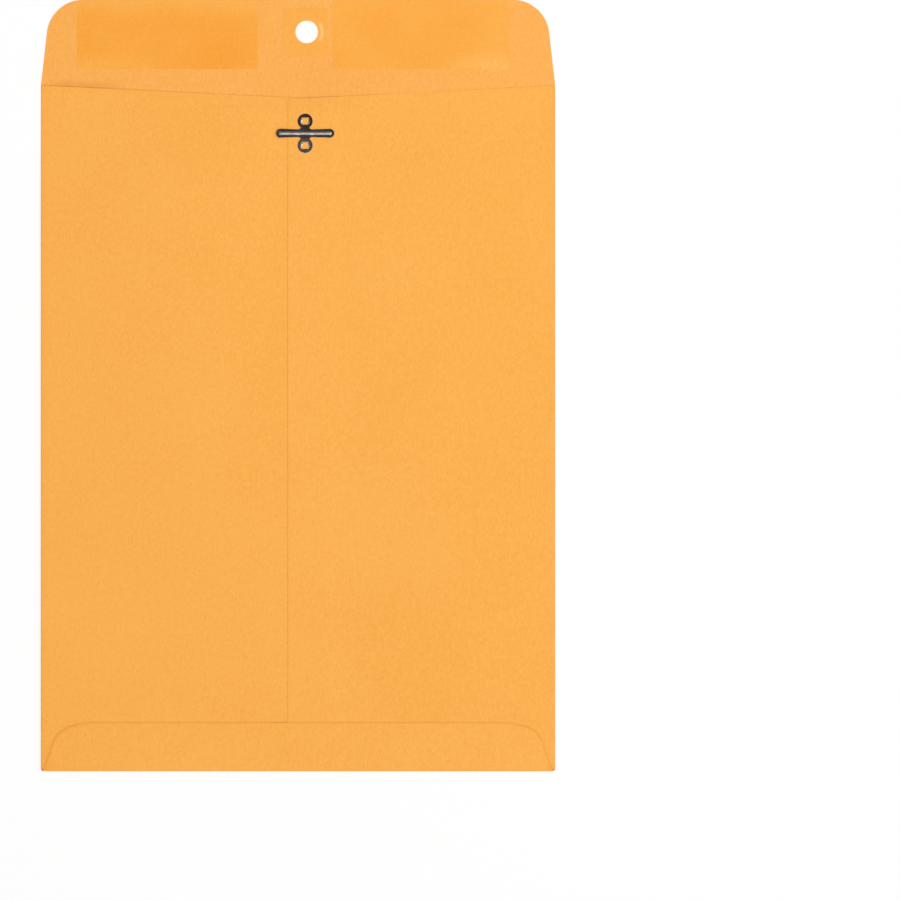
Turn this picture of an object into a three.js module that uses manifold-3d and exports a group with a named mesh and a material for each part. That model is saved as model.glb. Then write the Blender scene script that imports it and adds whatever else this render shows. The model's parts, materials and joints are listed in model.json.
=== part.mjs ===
// Clasp envelope for 9 x 12 in papers: one folded sheet of kraft paper with a gummed seal flap, and a
// stamped tinplate clasp whose two prongs pass through the flap's hole.
// It lies on its address side with the flap open. Millimetres: +X right, +Y towards the flap, +Z up.
// The origin is at the middle of the outline, on the surface that the envelope lies on.

import * as THREE from "three";
import { mergeVertices } from "three/addons/utils/BufferGeometryUtils.js";
import Module from "manifold-3d";

// Sheet and its layers
const WIDTH = 228.6;
const HEIGHT = 304.8;
const FLAP_LENGTH = 38.1;
const PAPER = 0.16;
const POCKET_GAP = 0.8;
const GLUE = 0.04;
const BOTTOM_CORNER_RADIUS = 0.7;

// Seal flap
const CREASE_RADIUS = 0.75;
const FLAP_TAPER_DEG = 6.5;
const FLAP_CORNER_RADIUS = 16.5;
const HOLE_DIAMETER = 9.8;
const HOLE_X = 3.9;
const HOLE_FROM_CREASE = 23.7;

// Remoistenable gum on the flap's inner face
const GUM_THICKNESS = 0.04;
const GUM_FROM_CREASE = 7.3;
const GUM_EDGE_MARGIN = 0.3;
const LEFT_GUM_OUTER_X = 98.1;
const LEFT_GUM_INNER_X = 18.0;
const RIGHT_GUM_INNER_X = 15.5;
const RIGHT_GUM_OUTER_X = 93.6;

// Paper patch that reinforces the hole
const PATCH_WIDTH = 19.4;
const PATCH_LENGTH = 20.9;
const PATCH_THICKNESS = 0.1;
const PATCH_OFFSET_X = -0.6;

// Lapped centre seam and V throat of the back panels
const SEAM_X = 4.15;
const SEAM_LAP = 17.2;
const THROAT_X = 3.5;
const THROAT_DEPTH = 5.8;
const PANEL_END_CLEARANCE = 0.4;
const FOLD_END_CLEARANCE = 0.1;
const LAY_CLEARANCE = 0.3;
const JOG_RUN = 2.0;
const SEAM_GLUE_MARGIN = 1.0;
const SEAM_GLUE_FROM_THROAT = 3.0;

// Bottom flap
const BOTTOM_FLAP_LENGTH = 21.6;
const BOTTOM_FLAP_INSET = 1.1;
const BOTTOM_FLAP_TAPER_DEG = 19.5;
const BOTTOM_FLAP_CORNER_RADIUS = 10.5;
const BOTTOM_FLAP_STEP = 0.9;
const BOTTOM_FLAP_STEP_FROM_CORNER = 9.8;
const BOTTOM_GLUE_MARGIN = 2.0;

// Tinplate clasp
const TIN = 0.3;
const CLASP_X = 3.15;
const CLASP_FROM_CREASE = 21.3;
const BAR_LENGTH = 26.1;
const BAR_WAIST = 3.1;
const BAR_END_WIDTH = 3.9;
const PRONG_BEND_X = 3.0;
const NECK_WIDTH = 3.93;
const NECK_FILLET = 1.0;
const RING_DIAMETER = 6.6;
const RING_SPACING = 10.75;
const RING_HOLE_WIDTH = 3.7;
const RING_HOLE_LENGTH = 3.15;

// Raised rib along the bar
const RIB_LENGTH = 23.3;
const RIB_WIDTH = 1.7;
const RIB_HEIGHT = 0.5;
const RIB_BEND_CLEARANCE = 0.4;

// Tabs that slope down out of the rings' holes and are clinched under the paper
const TAB_REACH = 0.75;
const TAB_KNEE_DEPTH = 0.2;
const TAB_SHOULDER_RADIUS = 0.3;
const TAB_KNEE_RADIUS = 0.15;
const TAB_CLINCH = 0.85;
const SLIT_CLEARANCE = 0.1;

// Faceting
const ARC_STEPS = 12;
const BEND_STEPS = 6;
const RIB_CAP_STEPS = 4;
const RIB_SIDE_STEPS = 20;
const MERGE_DISTANCE = 1e-4;
const CUT_REACH = 5;

// Places that follow from the sizes above
const BOTTOM_Y = -(HEIGHT + FLAP_LENGTH) / 2;
const CREASE_Y = BOTTOM_Y + HEIGHT;
const FLAP_END_Y = CREASE_Y + FLAP_LENGTH;
const HINGE_Y = CREASE_Y + (Math.PI / 2) * CREASE_RADIUS;
const HOLE_Y = CREASE_Y + HOLE_FROM_CREASE;
const THROAT_Y = CREASE_Y - THROAT_DEPTH;
const CLASP_Y = CREASE_Y - CLASP_FROM_CREASE;

const BACK_Z = PAPER + POCKET_GAP;
const BACK_TOP_Z = BACK_Z + PAPER;
const SEAM_RISE = PAPER + GLUE;
const CLASP_Z = BACK_TOP_Z + SEAM_RISE;
const BOTTOM_FLAP_Z = BACK_TOP_Z + GLUE;
const TAB_LEAN = Math.atan2(TIN + TAB_KNEE_DEPTH, TAB_REACH);
const TAB_ROOT_X = RING_HOLE_WIDTH / 2 + TIN * Math.tan(TAB_LEAN / 2);
const TAB_KNEE_X = RING_HOLE_WIDTH / 2 - TAB_REACH;

const SIDE_FOLD_RADIUS = BACK_TOP_Z / 2;
const SIDE_FOLD_X = WIDTH / 2 - SIDE_FOLD_RADIUS;
const BOTTOM_FOLD_RADIUS = (BOTTOM_FLAP_Z + PAPER) / 2;
const BOTTOM_FOLD_Y = BOTTOM_Y + BOTTOM_FOLD_RADIUS;
const BOTTOM_FOLD_X = WIDTH / 2 - BOTTOM_FLAP_INSET;
const PANEL_END_Y = BOTTOM_FOLD_Y + PANEL_END_CLEARANCE;
const SIDE_FOLD_END_Y = CREASE_Y - FOLD_END_CLEARANCE;
const SEAM_LEFT_X = SEAM_X - SEAM_LAP / 2;
const SEAM_RIGHT_X = SEAM_X + SEAM_LAP / 2;

const wasm = await Module();
wasm.setup();

// A closed geometry as a solid that can be joined and cut.
function toSolid(geometry) {
  const bare = geometry.clone();
  bare.deleteAttribute("normal");
  bare.deleteAttribute("uv");
  const merged = mergeVertices(bare, MERGE_DISTANCE);
  const mesh = new wasm.Mesh({
    numProp: 3,
    vertProperties: merged.getAttribute("position").array,
    triVerts: new Uint32Array(merged.getIndex().array),
  });
  return new wasm.Manifold(mesh);
}

// A joined or cut solid as a geometry with flat facets.
function toGeometry(solid) {
  const mesh = solid.getMesh();
  const indexed = new THREE.BufferGeometry();
  indexed.setAttribute("position", new THREE.BufferAttribute(mesh.vertProperties, 3));
  indexed.setIndex(new THREE.BufferAttribute(mesh.triVerts, 1));
  const geometry = indexed.toNonIndexed();
  geometry.computeVertexNormals();
  return geometry;
}

// An outline through corners [x, y, radius], with an arc in each corner that has a radius.
function roundedShape(corners) {
  const shape = new THREE.Shape();
  corners.forEach(([x, y, radius = 0], i) => {
    const corner = new THREE.Vector2(x, y);
    if (radius === 0) {
      if (i === 0) shape.moveTo(x, y);
      else shape.lineTo(x, y);
      return;
    }
    const [fromX, fromY] = corners.at(i - 1);
    const [toX, toY] = corners[(i + 1) % corners.length];
    const back = new THREE.Vector2(fromX, fromY).sub(corner).normalize();
    const ahead = new THREE.Vector2(toX, toY).sub(corner).normalize();
    const half = Math.acos(THREE.MathUtils.clamp(back.dot(ahead), -1, 1)) / 2;
    const start = back.clone().multiplyScalar(radius / Math.tan(half)).add(corner);
    const end = ahead.clone().multiplyScalar(radius / Math.tan(half)).add(corner);
    const middle = back.clone().add(ahead).normalize().multiplyScalar(radius / Math.sin(half)).add(corner);
    const startAngle = start.clone().sub(middle).angle();
    const endAngle = end.clone().sub(middle).angle();
    const clockwise = back.cross(ahead) > 0;
    if (i === 0) shape.moveTo(start.x, start.y);
    shape.absarc(middle.x, middle.y, radius, startAngle, endAngle, clockwise);
  });
  shape.closePath();
  return shape;
}

// A flat plate with the given outline, its underside at z.
function plate(shape, z, thickness) {
  const geometry = new THREE.ExtrudeGeometry(shape, {
    depth: thickness,
    bevelEnabled: false,
    curveSegments: ARC_STEPS,
  });
  return geometry.translate(0, 0, z);
}

// A section in X and Z, drawn out along Y between two ends.
function drawnAlongY(section, fromY, toY) {
  const geometry = new THREE.ExtrudeGeometry(section, {
    depth: toY - fromY,
    bevelEnabled: false,
    curveSegments: BEND_STEPS,
  });
  return geometry.rotateX(Math.PI / 2).translate(0, toY, 0);
}

// A section in Y and Z, drawn out along X between two ends.
function drawnAlongX(section, fromX, toX) {
  const geometry = new THREE.ExtrudeGeometry(section, {
    depth: toX - fromX,
    bevelEnabled: false,
    curveSegments: BEND_STEPS,
  });
  return geometry.rotateX(Math.PI / 2).rotateZ(Math.PI / 2).translate(fromX, 0, 0);
}

// Half a tube of paper: the section of a rolled fold that opens towards +X.
function foldSection(centreX, centreZ, outerRadius) {
  const innerRadius = outerRadius - PAPER;
  const section = new THREE.Shape();
  section.moveTo(centreX, centreZ + outerRadius);
  section.absarc(centreX, centreZ, outerRadius, Math.PI / 2, Math.PI * 1.5, false);
  section.lineTo(centreX, centreZ - innerRadius);
  section.absarc(centreX, centreZ, innerRadius, Math.PI * 1.5, Math.PI / 2, true);
  section.closePath();
  return section;
}

// The section of a layer whose underside runs through the points [x, z].
function layerSection(underside, thickness) {
  const section = new THREE.Shape();
  underside.forEach(([x, z], i) => {
    if (i === 0) section.moveTo(x, z);
    else section.lineTo(x, z);
  });
  underside.toReversed().forEach(([x, z]) => section.lineTo(x, z + thickness));
  section.closePath();
  return section;
}

// A layer that follows an underside across the envelope, cut to an outline.
function cutLayer(underside, thickness, outline) {
  const layer = toSolid(drawnAlongY(layerSection(underside, thickness), BOTTOM_Y, CREASE_Y));
  const cutter = toSolid(plate(outline, -CUT_REACH, 2 * CUT_REACH));
  return layer.intersect(cutter);
}

// Half the sheet's width at a height above the crease, where its sides draw in.
function flapHalfWidth(y) {
  return WIDTH / 2 - (y - CREASE_Y) * Math.tan(THREE.MathUtils.degToRad(FLAP_TAPER_DEG));
}

// The four slits that the tabs of the two rings pass through, as one cutter.
function tabSlits() {
  const outerX = TAB_ROOT_X + SLIT_CLEARANCE;
  const innerX = TAB_KNEE_X - SLIT_CLEARANCE;
  const slitLength = RING_HOLE_LENGTH + 2 * SLIT_CLEARANCE;
  const slits = [];
  for (const side of [-1, 1]) {
    for (const ring of [-1, 1]) {
      const slit = new THREE.BoxGeometry(outerX - innerX, slitLength, 2 * CUT_REACH);
      slit.translate(
        CLASP_X + (side * (outerX + innerX)) / 2,
        CLASP_Y + (ring * RING_SPACING) / 2,
        BACK_Z,
      );
      slits.push(toSolid(slit));
    }
  }
  return slits.reduce((all, slit) => all.add(slit));
}

// Address side, with the start of the seal flap up to the hinge line
function frontPanel() {
  const outline = roundedShape([
    [-SIDE_FOLD_X, BOTTOM_FOLD_Y, BOTTOM_CORNER_RADIUS],
    [SIDE_FOLD_X, BOTTOM_FOLD_Y, BOTTOM_CORNER_RADIUS],
    [SIDE_FOLD_X, CREASE_Y],
    [WIDTH / 2, CREASE_Y],
    [flapHalfWidth(HINGE_Y), HINGE_Y],
    [-flapHalfWidth(HINGE_Y), HINGE_Y],
    [-WIDTH / 2, CREASE_Y],
    [-SIDE_FOLD_X, CREASE_Y],
  ]);
  return plate(outline, 0, PAPER);
}

function leftSideFold() {
  const section = foldSection(-SIDE_FOLD_X, SIDE_FOLD_RADIUS, SIDE_FOLD_RADIUS);
  return drawnAlongY(section, PANEL_END_Y, SIDE_FOLD_END_Y);
}

function rightSideFold() {
  return leftSideFold().rotateZ(Math.PI).translate(0, PANEL_END_Y + SIDE_FOLD_END_Y, 0);
}

function bottomFold() {
  const section = foldSection(BOTTOM_FOLD_Y, BOTTOM_FOLD_RADIUS, BOTTOM_FOLD_RADIUS);
  return drawnAlongX(section, -BOTTOM_FOLD_X, BOTTOM_FOLD_X);
}

// The throat edge of a back panel at x: a straight line from its side fold down to the V's point.
function throatEdgeY(x, foldX) {
  return THREE.MathUtils.mapLinear(x, foldX, THROAT_X, SIDE_FOLD_END_Y, THROAT_Y);
}

function backPanelOutline(foldX, seamEdgeX) {
  return roundedShape([
    [foldX, PANEL_END_Y],
    [seamEdgeX, PANEL_END_Y],
    [seamEdgeX, throatEdgeY(seamEdgeX, foldX)],
    [foldX, SIDE_FOLD_END_Y],
  ]);
}

// The left panel runs under the seam.
function leftBackPanel() {
  const underside = [
    [-SIDE_FOLD_X, BACK_Z],
    [SEAM_RIGHT_X, BACK_Z],
  ];
  const panel = cutLayer(underside, PAPER, backPanelOutline(-SIDE_FOLD_X, SEAM_RIGHT_X));
  return toGeometry(panel.subtract(tabSlits()));
}

// The right panel lies on the left one at the seam and steps down beside it.
function rightBackPanel() {
  const underside = [
    [SEAM_LEFT_X, BACK_Z + SEAM_RISE],
    [SEAM_RIGHT_X + LAY_CLEARANCE, BACK_Z + SEAM_RISE],
    [SEAM_RIGHT_X + LAY_CLEARANCE + JOG_RUN, BACK_Z],
    [SIDE_FOLD_X, BACK_Z],
  ];
  const panel = cutLayer(underside, PAPER, backPanelOutline(SIDE_FOLD_X, SEAM_LEFT_X));
  return toGeometry(panel.subtract(tabSlits()));
}

function seamAdhesive() {
  const outline = roundedShape([
    [SEAM_LEFT_X + SEAM_GLUE_MARGIN, PANEL_END_Y],
    [SEAM_RIGHT_X - SEAM_GLUE_MARGIN, PANEL_END_Y],
    [SEAM_RIGHT_X - SEAM_GLUE_MARGIN, THROAT_Y - SEAM_GLUE_FROM_THROAT],
    [SEAM_LEFT_X + SEAM_GLUE_MARGIN, THROAT_Y - SEAM_GLUE_FROM_THROAT],
  ]);
  return toGeometry(toSolid(plate(outline, BACK_TOP_Z, GLUE)).subtract(tabSlits()));
}

// The bottom flap's outline, drawn in by a margin from every edge but the fold.
function bottomFlapOutline(margin) {
  const taper = Math.tan(THREE.MathUtils.degToRad(BOTTOM_FLAP_TAPER_DEG));
  const topY = BOTTOM_Y + BOTTOM_FLAP_LENGTH - margin;
  const shoulderY = topY - BOTTOM_FLAP_STEP;
  const footX = BOTTOM_FOLD_X - margin;
  const cornerX = footX - (shoulderY - BOTTOM_FOLD_Y) * taper;
  const stepX = cornerX - BOTTOM_FLAP_STEP_FROM_CORNER;
  const radius = BOTTOM_FLAP_CORNER_RADIUS - margin;
  return roundedShape([
    [-footX, BOTTOM_FOLD_Y],
    [footX, BOTTOM_FOLD_Y],
    [cornerX, shoulderY, radius],
    [stepX, shoulderY],
    [stepX, topY],
    [-stepX, topY],
    [-stepX, shoulderY],
    [-cornerX, shoulderY, radius],
  ]);
}

// The underside of a layer on the back that rises where the seam is two plies thick.
function undersideOverSeam(z) {
  return [
    [-WIDTH / 2, z],
    [SEAM_LEFT_X - LAY_CLEARANCE - JOG_RUN, z],
    [SEAM_LEFT_X - LAY_CLEARANCE, z + SEAM_RISE],
    [SEAM_RIGHT_X + LAY_CLEARANCE, z + SEAM_RISE],
    [SEAM_RIGHT_X + LAY_CLEARANCE + JOG_RUN, z],
    [WIDTH / 2, z],
  ];
}

function bottomFlap() {
  return toGeometry(cutLayer(undersideOverSeam(BOTTOM_FLAP_Z), PAPER, bottomFlapOutline(0)));
}

function bottomFlapAdhesive() {
  const outline = bottomFlapOutline(BOTTOM_GLUE_MARGIN);
  const film = cutLayer(undersideOverSeam(BACK_TOP_Z), GLUE, outline);
  const foldRoom = new THREE.BoxGeometry(WIDTH, 2 * BOTTOM_GLUE_MARGIN, 2 * CUT_REACH);
  foldRoom.translate(0, PANEL_END_Y, 0);
  return toGeometry(film.subtract(toSolid(foldRoom)));
}

// The seal flap's outline, drawn in by a margin from its three free edges.
function sealFlapOutline(margin) {
  const radius = FLAP_CORNER_RADIUS - margin;
  const endY = FLAP_END_Y - margin;
  return roundedShape([
    [-flapHalfWidth(HINGE_Y) + margin, HINGE_Y],
    [flapHalfWidth(HINGE_Y) - margin, HINGE_Y],
    [flapHalfWidth(endY) - margin, endY, radius],
    [-flapHalfWidth(endY) + margin, endY, radius],
  ]);
}

function holePath() {
  const hole = new THREE.Path();
  hole.absarc(HOLE_X, HOLE_Y, HOLE_DIAMETER / 2, 0, 2 * Math.PI, true);
  return hole;
}

function sealFlap() {
  const outline = sealFlapOutline(0);
  outline.holes.push(holePath());
  return plate(outline, 0, PAPER);
}

// A strip of gum between two places across the flap, ending at the flap's outline.
function gumStrip(fromX, toX) {
  const strip = new THREE.BoxGeometry(toX - fromX, FLAP_LENGTH, GUM_THICKNESS);
  strip.translate(
    (fromX + toX) / 2,
    CREASE_Y + GUM_FROM_CREASE + FLAP_LENGTH / 2,
    PAPER + GUM_THICKNESS / 2,
  );
  const flapEdge = toSolid(plate(sealFlapOutline(GUM_EDGE_MARGIN), -CUT_REACH, 2 * CUT_REACH));
  return toGeometry(toSolid(strip).intersect(flapEdge));
}

function holePatch() {
  const middleX = HOLE_X + PATCH_OFFSET_X;
  const outline = roundedShape([
    [middleX - PATCH_WIDTH / 2, HOLE_Y - PATCH_LENGTH / 2],
    [middleX + PATCH_WIDTH / 2, HOLE_Y - PATCH_LENGTH / 2],
    [middleX + PATCH_WIDTH / 2, HOLE_Y + PATCH_LENGTH / 2],
    [middleX - PATCH_WIDTH / 2, HOLE_Y + PATCH_LENGTH / 2],
  ]);
  outline.holes.push(holePath());
  return plate(outline, PAPER, PATCH_THICKNESS);
}

// Clasp pieces are drawn about the clasp's own centre, with z = 0 on the paper.

// A long dome between two places on the bar.
function dome(fromX, toX, width, height) {
  const radius = width / 2;
  const straight = toX - fromX - width;
  const capsule = new THREE.CapsuleGeometry(radius, straight, RIB_CAP_STEPS, RIB_SIDE_STEPS, 1);
  capsule.rotateZ(Math.PI / 2).scale(1, 1, height / radius);
  return toSolid(capsule.translate((fromX + toX) / 2, 0, 0));
}

// Presses the rib up out of the bar, which leaves a hollow of the same height beneath it.
function pressRib(bar, fromX, toX) {
  const rib = dome(fromX, toX, RIB_WIDTH, TIN + RIB_HEIGHT);
  const hollow = dome(fromX + TIN / 2, toX - TIN / 2, RIB_WIDTH - TIN, RIB_HEIGHT);
  const under = new THREE.BoxGeometry(BAR_LENGTH, BAR_END_WIDTH, CUT_REACH);
  under.translate((fromX + toX) / 2, 0, -CUT_REACH / 2);
  return bar.add(rib.subtract(toSolid(under))).subtract(hollow);
}

// The base's outline: up the right end of the hub, round the upper ring, down and round the lower one.
function claspBaseShape() {
  const barHalf = BAR_WAIST / 2;
  const neckHalf = NECK_WIDTH / 2;
  const ringRadius = RING_DIAMETER / 2;
  const ringY = RING_SPACING / 2;
  const neckAngle = Math.acos(neckHalf / ringRadius);
  const shape = new THREE.Shape();
  shape.moveTo(PRONG_BEND_X, -barHalf);
  shape.lineTo(PRONG_BEND_X, barHalf);
  shape.absarc(neckHalf + NECK_FILLET, barHalf + NECK_FILLET, NECK_FILLET, -Math.PI / 2, -Math.PI, true);
  shape.absarc(0, ringY, ringRadius, -neckAngle, Math.PI + neckAngle, false);
  shape.absarc(-neckHalf - NECK_FILLET, barHalf + NECK_FILLET, NECK_FILLET, 0, -Math.PI / 2, true);
  shape.lineTo(-PRONG_BEND_X, barHalf);
  shape.lineTo(-PRONG_BEND_X, -barHalf);
  shape.absarc(-neckHalf - NECK_FILLET, -barHalf - NECK_FILLET, NECK_FILLET, Math.PI / 2, 0, true);
  shape.absarc(0, -ringY, ringRadius, Math.PI - neckAngle, neckAngle, false);
  shape.absarc(neckHalf + NECK_FILLET, -barHalf - NECK_FILLET, NECK_FILLET, Math.PI, Math.PI / 2, true);
  shape.closePath();
  for (const side of [-1, 1]) {
    const hole = new THREE.Path();
    const middleY = side * ringY;
    hole.moveTo(-RING_HOLE_WIDTH / 2, middleY - RING_HOLE_LENGTH / 2);
    hole.lineTo(-RING_HOLE_WIDTH / 2, middleY + RING_HOLE_LENGTH / 2);
    hole.lineTo(RING_HOLE_WIDTH / 2, middleY + RING_HOLE_LENGTH / 2);
    hole.lineTo(RING_HOLE_WIDTH / 2, middleY - RING_HOLE_LENGTH / 2);
    hole.closePath();
    shape.holes.push(hole);
  }
  return shape;
}

// A tab on the +X side of a ring's hole: it slopes down through the paper and turns out beneath it.
function tabSection() {
  const underPaperZ = BACK_Z - CLASP_Z;
  const footX = TAB_ROOT_X + underPaperZ / Math.tan(TAB_LEAN);
  const endX = RING_HOLE_WIDTH / 2 + TAB_CLINCH;
  return roundedShape([
    [RING_HOLE_WIDTH / 2 + TIN, TIN],
    [RING_HOLE_WIDTH / 2, TIN, TAB_SHOULDER_RADIUS],
    [TAB_KNEE_X, -TAB_KNEE_DEPTH, TAB_KNEE_RADIUS],
    [TAB_KNEE_X, underPaperZ - TIN, TAB_KNEE_RADIUS],
    [endX, underPaperZ - TIN],
    [endX, underPaperZ],
    [footX, underPaperZ],
    [TAB_ROOT_X, 0],
    [RING_HOLE_WIDTH / 2 + TIN, 0],
  ]);
}

function claspBase() {
  let base = toSolid(plate(claspBaseShape(), 0, TIN));
  base = pressRib(base, -PRONG_BEND_X + RIB_BEND_CLEARANCE, PRONG_BEND_X - RIB_BEND_CLEARANCE);
  const tab = drawnAlongY(tabSection(), -RING_HOLE_LENGTH / 2, RING_HOLE_LENGTH / 2);
  for (const ring of [-1, 1]) {
    for (const turn of [0, Math.PI]) {
      const placed = tab.clone().rotateZ(turn).translate(0, (ring * RING_SPACING) / 2, 0);
      base = base.add(toSolid(placed));
    }
  }
  return toGeometry(base);
}

// The prong towards +X. Its rib stops short of the bend so that it can stand upright.
function claspProng() {
  const rootHalf = BAR_WAIST / 2;
  const tipRadius = BAR_END_WIDTH / 2;
  const tipX = BAR_LENGTH / 2 - tipRadius;
  const flare = Math.asin((tipRadius - rootHalf) / (tipX - PRONG_BEND_X));
  const outline = new THREE.Shape();
  outline.moveTo(PRONG_BEND_X, -rootHalf);
  outline.absarc(tipX, 0, tipRadius, -Math.PI / 2 - flare, Math.PI / 2 + flare, false);
  outline.lineTo(PRONG_BEND_X, rootHalf);
  outline.closePath();
  const flat = toSolid(plate(outline, 0, TIN));
  return toGeometry(pressRib(flat, PRONG_BEND_X + RIB_BEND_CLEARANCE, RIB_LENGTH / 2));
}

const kraft = { color: 0xfbb052, roughness: 0.85, metalness: 0 };
const dryGum = { color: 0xfcaa47, roughness: 0.5, metalness: 0 };
const paste = { color: 0xe9d9b8, roughness: 0.6, metalness: 0 };
const tinplate = { color: 0x5c5650, roughness: 0.35, metalness: 1 };

function piece(name, geometry, finish) {
  const mesh = new THREE.Mesh(geometry, new THREE.MeshStandardMaterial(finish));
  mesh.name = name;
  return mesh;
}

const pocket = new THREE.Group();
pocket.add(
  piece("front_panel", frontPanel(), kraft),
  piece("left_side_fold", leftSideFold(), kraft),
  piece("right_side_fold", rightSideFold(), kraft),
  piece("left_back_panel", leftBackPanel(), kraft),
  piece("right_back_panel", rightBackPanel(), kraft),
  piece("seam_adhesive", seamAdhesive(), paste),
  piece("bottom_fold", bottomFold(), kraft),
  piece("bottom_flap", bottomFlap(), kraft),
  piece("bottom_flap_adhesive", bottomFlapAdhesive(), paste),
);

const flap = new THREE.Group();
flap.add(
  piece("seal_flap", sealFlap(), kraft),
  piece("gum_strip_left", gumStrip(-LEFT_GUM_OUTER_X, -LEFT_GUM_INNER_X), dryGum),
  piece("gum_strip_right", gumStrip(RIGHT_GUM_INNER_X, RIGHT_GUM_OUTER_X), dryGum),
  piece("hole_reinforcement_patch", holePatch(), kraft),
);

const clasp = new THREE.Group();
clasp.position.set(CLASP_X, CLASP_Y, CLASP_Z);
const rightProng = piece("clasp_prong_right", claspProng(), tinplate);
const leftProng = piece("clasp_prong_left", claspProng(), tinplate);
leftProng.rotation.z = Math.PI;
clasp.add(piece("clasp_base", claspBase(), tinplate), leftProng, rightProng);

const envelope = new THREE.Group();
envelope.add(pocket, flap, clasp);

export default envelope;
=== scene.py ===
"""A kraft paper clasp envelope, back up with its seal flap open, dressed for rendering.

Lengths are millimetres in the frame's own axes: +X across the envelope, +Y towards the seal flap and
+Z up out of the back. They are turned to metres where a mesh, a light or the camera is made.
"""

import json
import logging
import math
from collections.abc import Callable, Sequence
from dataclasses import dataclass, field
from enum import Enum

import bmesh
import bpy
import numpy as np
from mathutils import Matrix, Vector
from mathutils.geometry import delaunay_2d_cdt

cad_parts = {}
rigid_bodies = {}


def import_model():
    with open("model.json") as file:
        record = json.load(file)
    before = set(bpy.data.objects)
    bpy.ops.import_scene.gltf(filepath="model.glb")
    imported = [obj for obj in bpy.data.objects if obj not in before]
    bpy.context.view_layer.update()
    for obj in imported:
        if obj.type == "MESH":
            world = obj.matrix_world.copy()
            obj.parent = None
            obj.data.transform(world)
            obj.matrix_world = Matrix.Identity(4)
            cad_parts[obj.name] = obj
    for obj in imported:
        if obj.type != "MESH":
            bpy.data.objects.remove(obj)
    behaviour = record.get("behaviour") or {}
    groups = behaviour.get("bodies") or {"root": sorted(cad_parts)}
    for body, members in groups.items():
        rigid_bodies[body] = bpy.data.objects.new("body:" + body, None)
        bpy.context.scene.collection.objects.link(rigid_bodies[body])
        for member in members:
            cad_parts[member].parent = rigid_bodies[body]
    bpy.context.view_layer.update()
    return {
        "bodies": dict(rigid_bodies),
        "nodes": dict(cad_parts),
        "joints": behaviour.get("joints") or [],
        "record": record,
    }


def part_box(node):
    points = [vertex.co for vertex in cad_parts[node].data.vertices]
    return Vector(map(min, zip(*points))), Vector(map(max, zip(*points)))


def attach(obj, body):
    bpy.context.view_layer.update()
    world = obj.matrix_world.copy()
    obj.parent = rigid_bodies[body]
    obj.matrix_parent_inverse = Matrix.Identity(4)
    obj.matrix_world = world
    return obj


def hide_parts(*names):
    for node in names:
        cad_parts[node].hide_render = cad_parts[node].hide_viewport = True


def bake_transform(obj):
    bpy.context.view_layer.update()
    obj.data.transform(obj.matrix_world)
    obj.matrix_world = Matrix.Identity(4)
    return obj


MM = 0.001
LOG = logging.getLogger("clasp_envelope")

Loop = np.ndarray
Rule = Callable[[np.ndarray], np.ndarray]
Corner = tuple[float, float, float]
Span = tuple[float, float]
Piece = bpy.types.Object
Material = bpy.types.Material
Socket = bpy.types.NodeSocket


class Body(Enum):
    """The rigid bodies of the frame that pieces ride on."""

    POCKET = "pocket"
    FLAP = "flap"
    LEFT_PRONG = "left_prong"
    RIGHT_PRONG = "right_prong"


class Side(Enum):
    """A side of the envelope or of its clasp, as the sign of X."""

    LEFT = -1
    RIGHT = 1


# Small maths


def smooth(value: np.ndarray | float) -> np.ndarray:
    """An even ramp from 0 to 1 for values from 0 to 1."""
    t = np.clip(value, 0.0, 1.0)
    return t * t * (3.0 - 2.0 * t)


def steps(start: float, end: float, spacing: float) -> np.ndarray:
    """Even places from start to end, about spacing apart."""
    return np.linspace(start, end, max(2, round(abs(end - start) / spacing) + 1))


def spaced(
    start: float, end: float, spacing: float, dense: Sequence[tuple[float, float, int]]
) -> np.ndarray:
    """Places along one direction, closer together in some stretches.

    Args:
        start: The first place.
        end: The last place.
        spacing: About how far apart they are elsewhere.
        dense: For each stretch, its two ends and how many steps it has.

    Returns:
        The places, in order.
    """
    clear = 0.5
    parts = [steps(start, end, spacing)]
    for low, high, count in dense:
        parts[0] = parts[0][(parts[0] < low - clear) | (parts[0] > high + clear)]
        parts.append(np.linspace(low, high, count + 1))
    return np.unique(np.round(np.concatenate(parts), decimals=5))


def arc(centre: tuple[float, float], radius: float, start: float, end: float, count: int) -> Loop:
    """Points on an arc.

    Args:
        centre: Its middle.
        radius: Its radius.
        start: The first angle in degrees.
        end: The last angle in degrees, lower than start for a clockwise arc.
        count: How many chords it has.

    Returns:
        The points from start to end, both included.
    """
    angle = np.radians(np.linspace(start, end, count + 1))
    return np.column_stack([centre[0] + radius * np.cos(angle), centre[1] + radius * np.sin(angle)])


def rounded(corners: Sequence[Corner], chord: float = 0.6) -> Loop:
    """A closed outline with round corners.

    Args:
        corners: Each corner's x, y and radius, anticlockwise.
        chord: About how long the arcs' chords are.

    Returns:
        The outline's points, without the first one again at the end.
    """
    points: list[np.ndarray] = []
    for i, (x, y, radius) in enumerate(corners):
        here = np.array([x, y])
        if radius == 0:
            points.append(here[None])
            continue
        back = np.array(corners[i - 1][:2]) - here
        ahead = np.array(corners[(i + 1) % len(corners)][:2]) - here
        back /= np.linalg.norm(back)
        ahead /= np.linalg.norm(ahead)
        half = math.acos(float(np.clip(back @ ahead, -1, 1))) / 2
        middle = here + (back + ahead) / np.linalg.norm(back + ahead) * radius / math.sin(half)
        start = here + back * radius / math.tan(half) - middle
        turn = math.pi - 2 * half
        if back[0] * ahead[1] - back[1] * ahead[0] > 0:
            turn = -turn
        first = math.degrees(math.atan2(start[1], start[0]))
        count = max(4, math.ceil(radius * abs(turn) / chord))
        points.append(arc((middle[0], middle[1]), radius, first, first + math.degrees(turn), count))
    return np.vstack(points)


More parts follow.
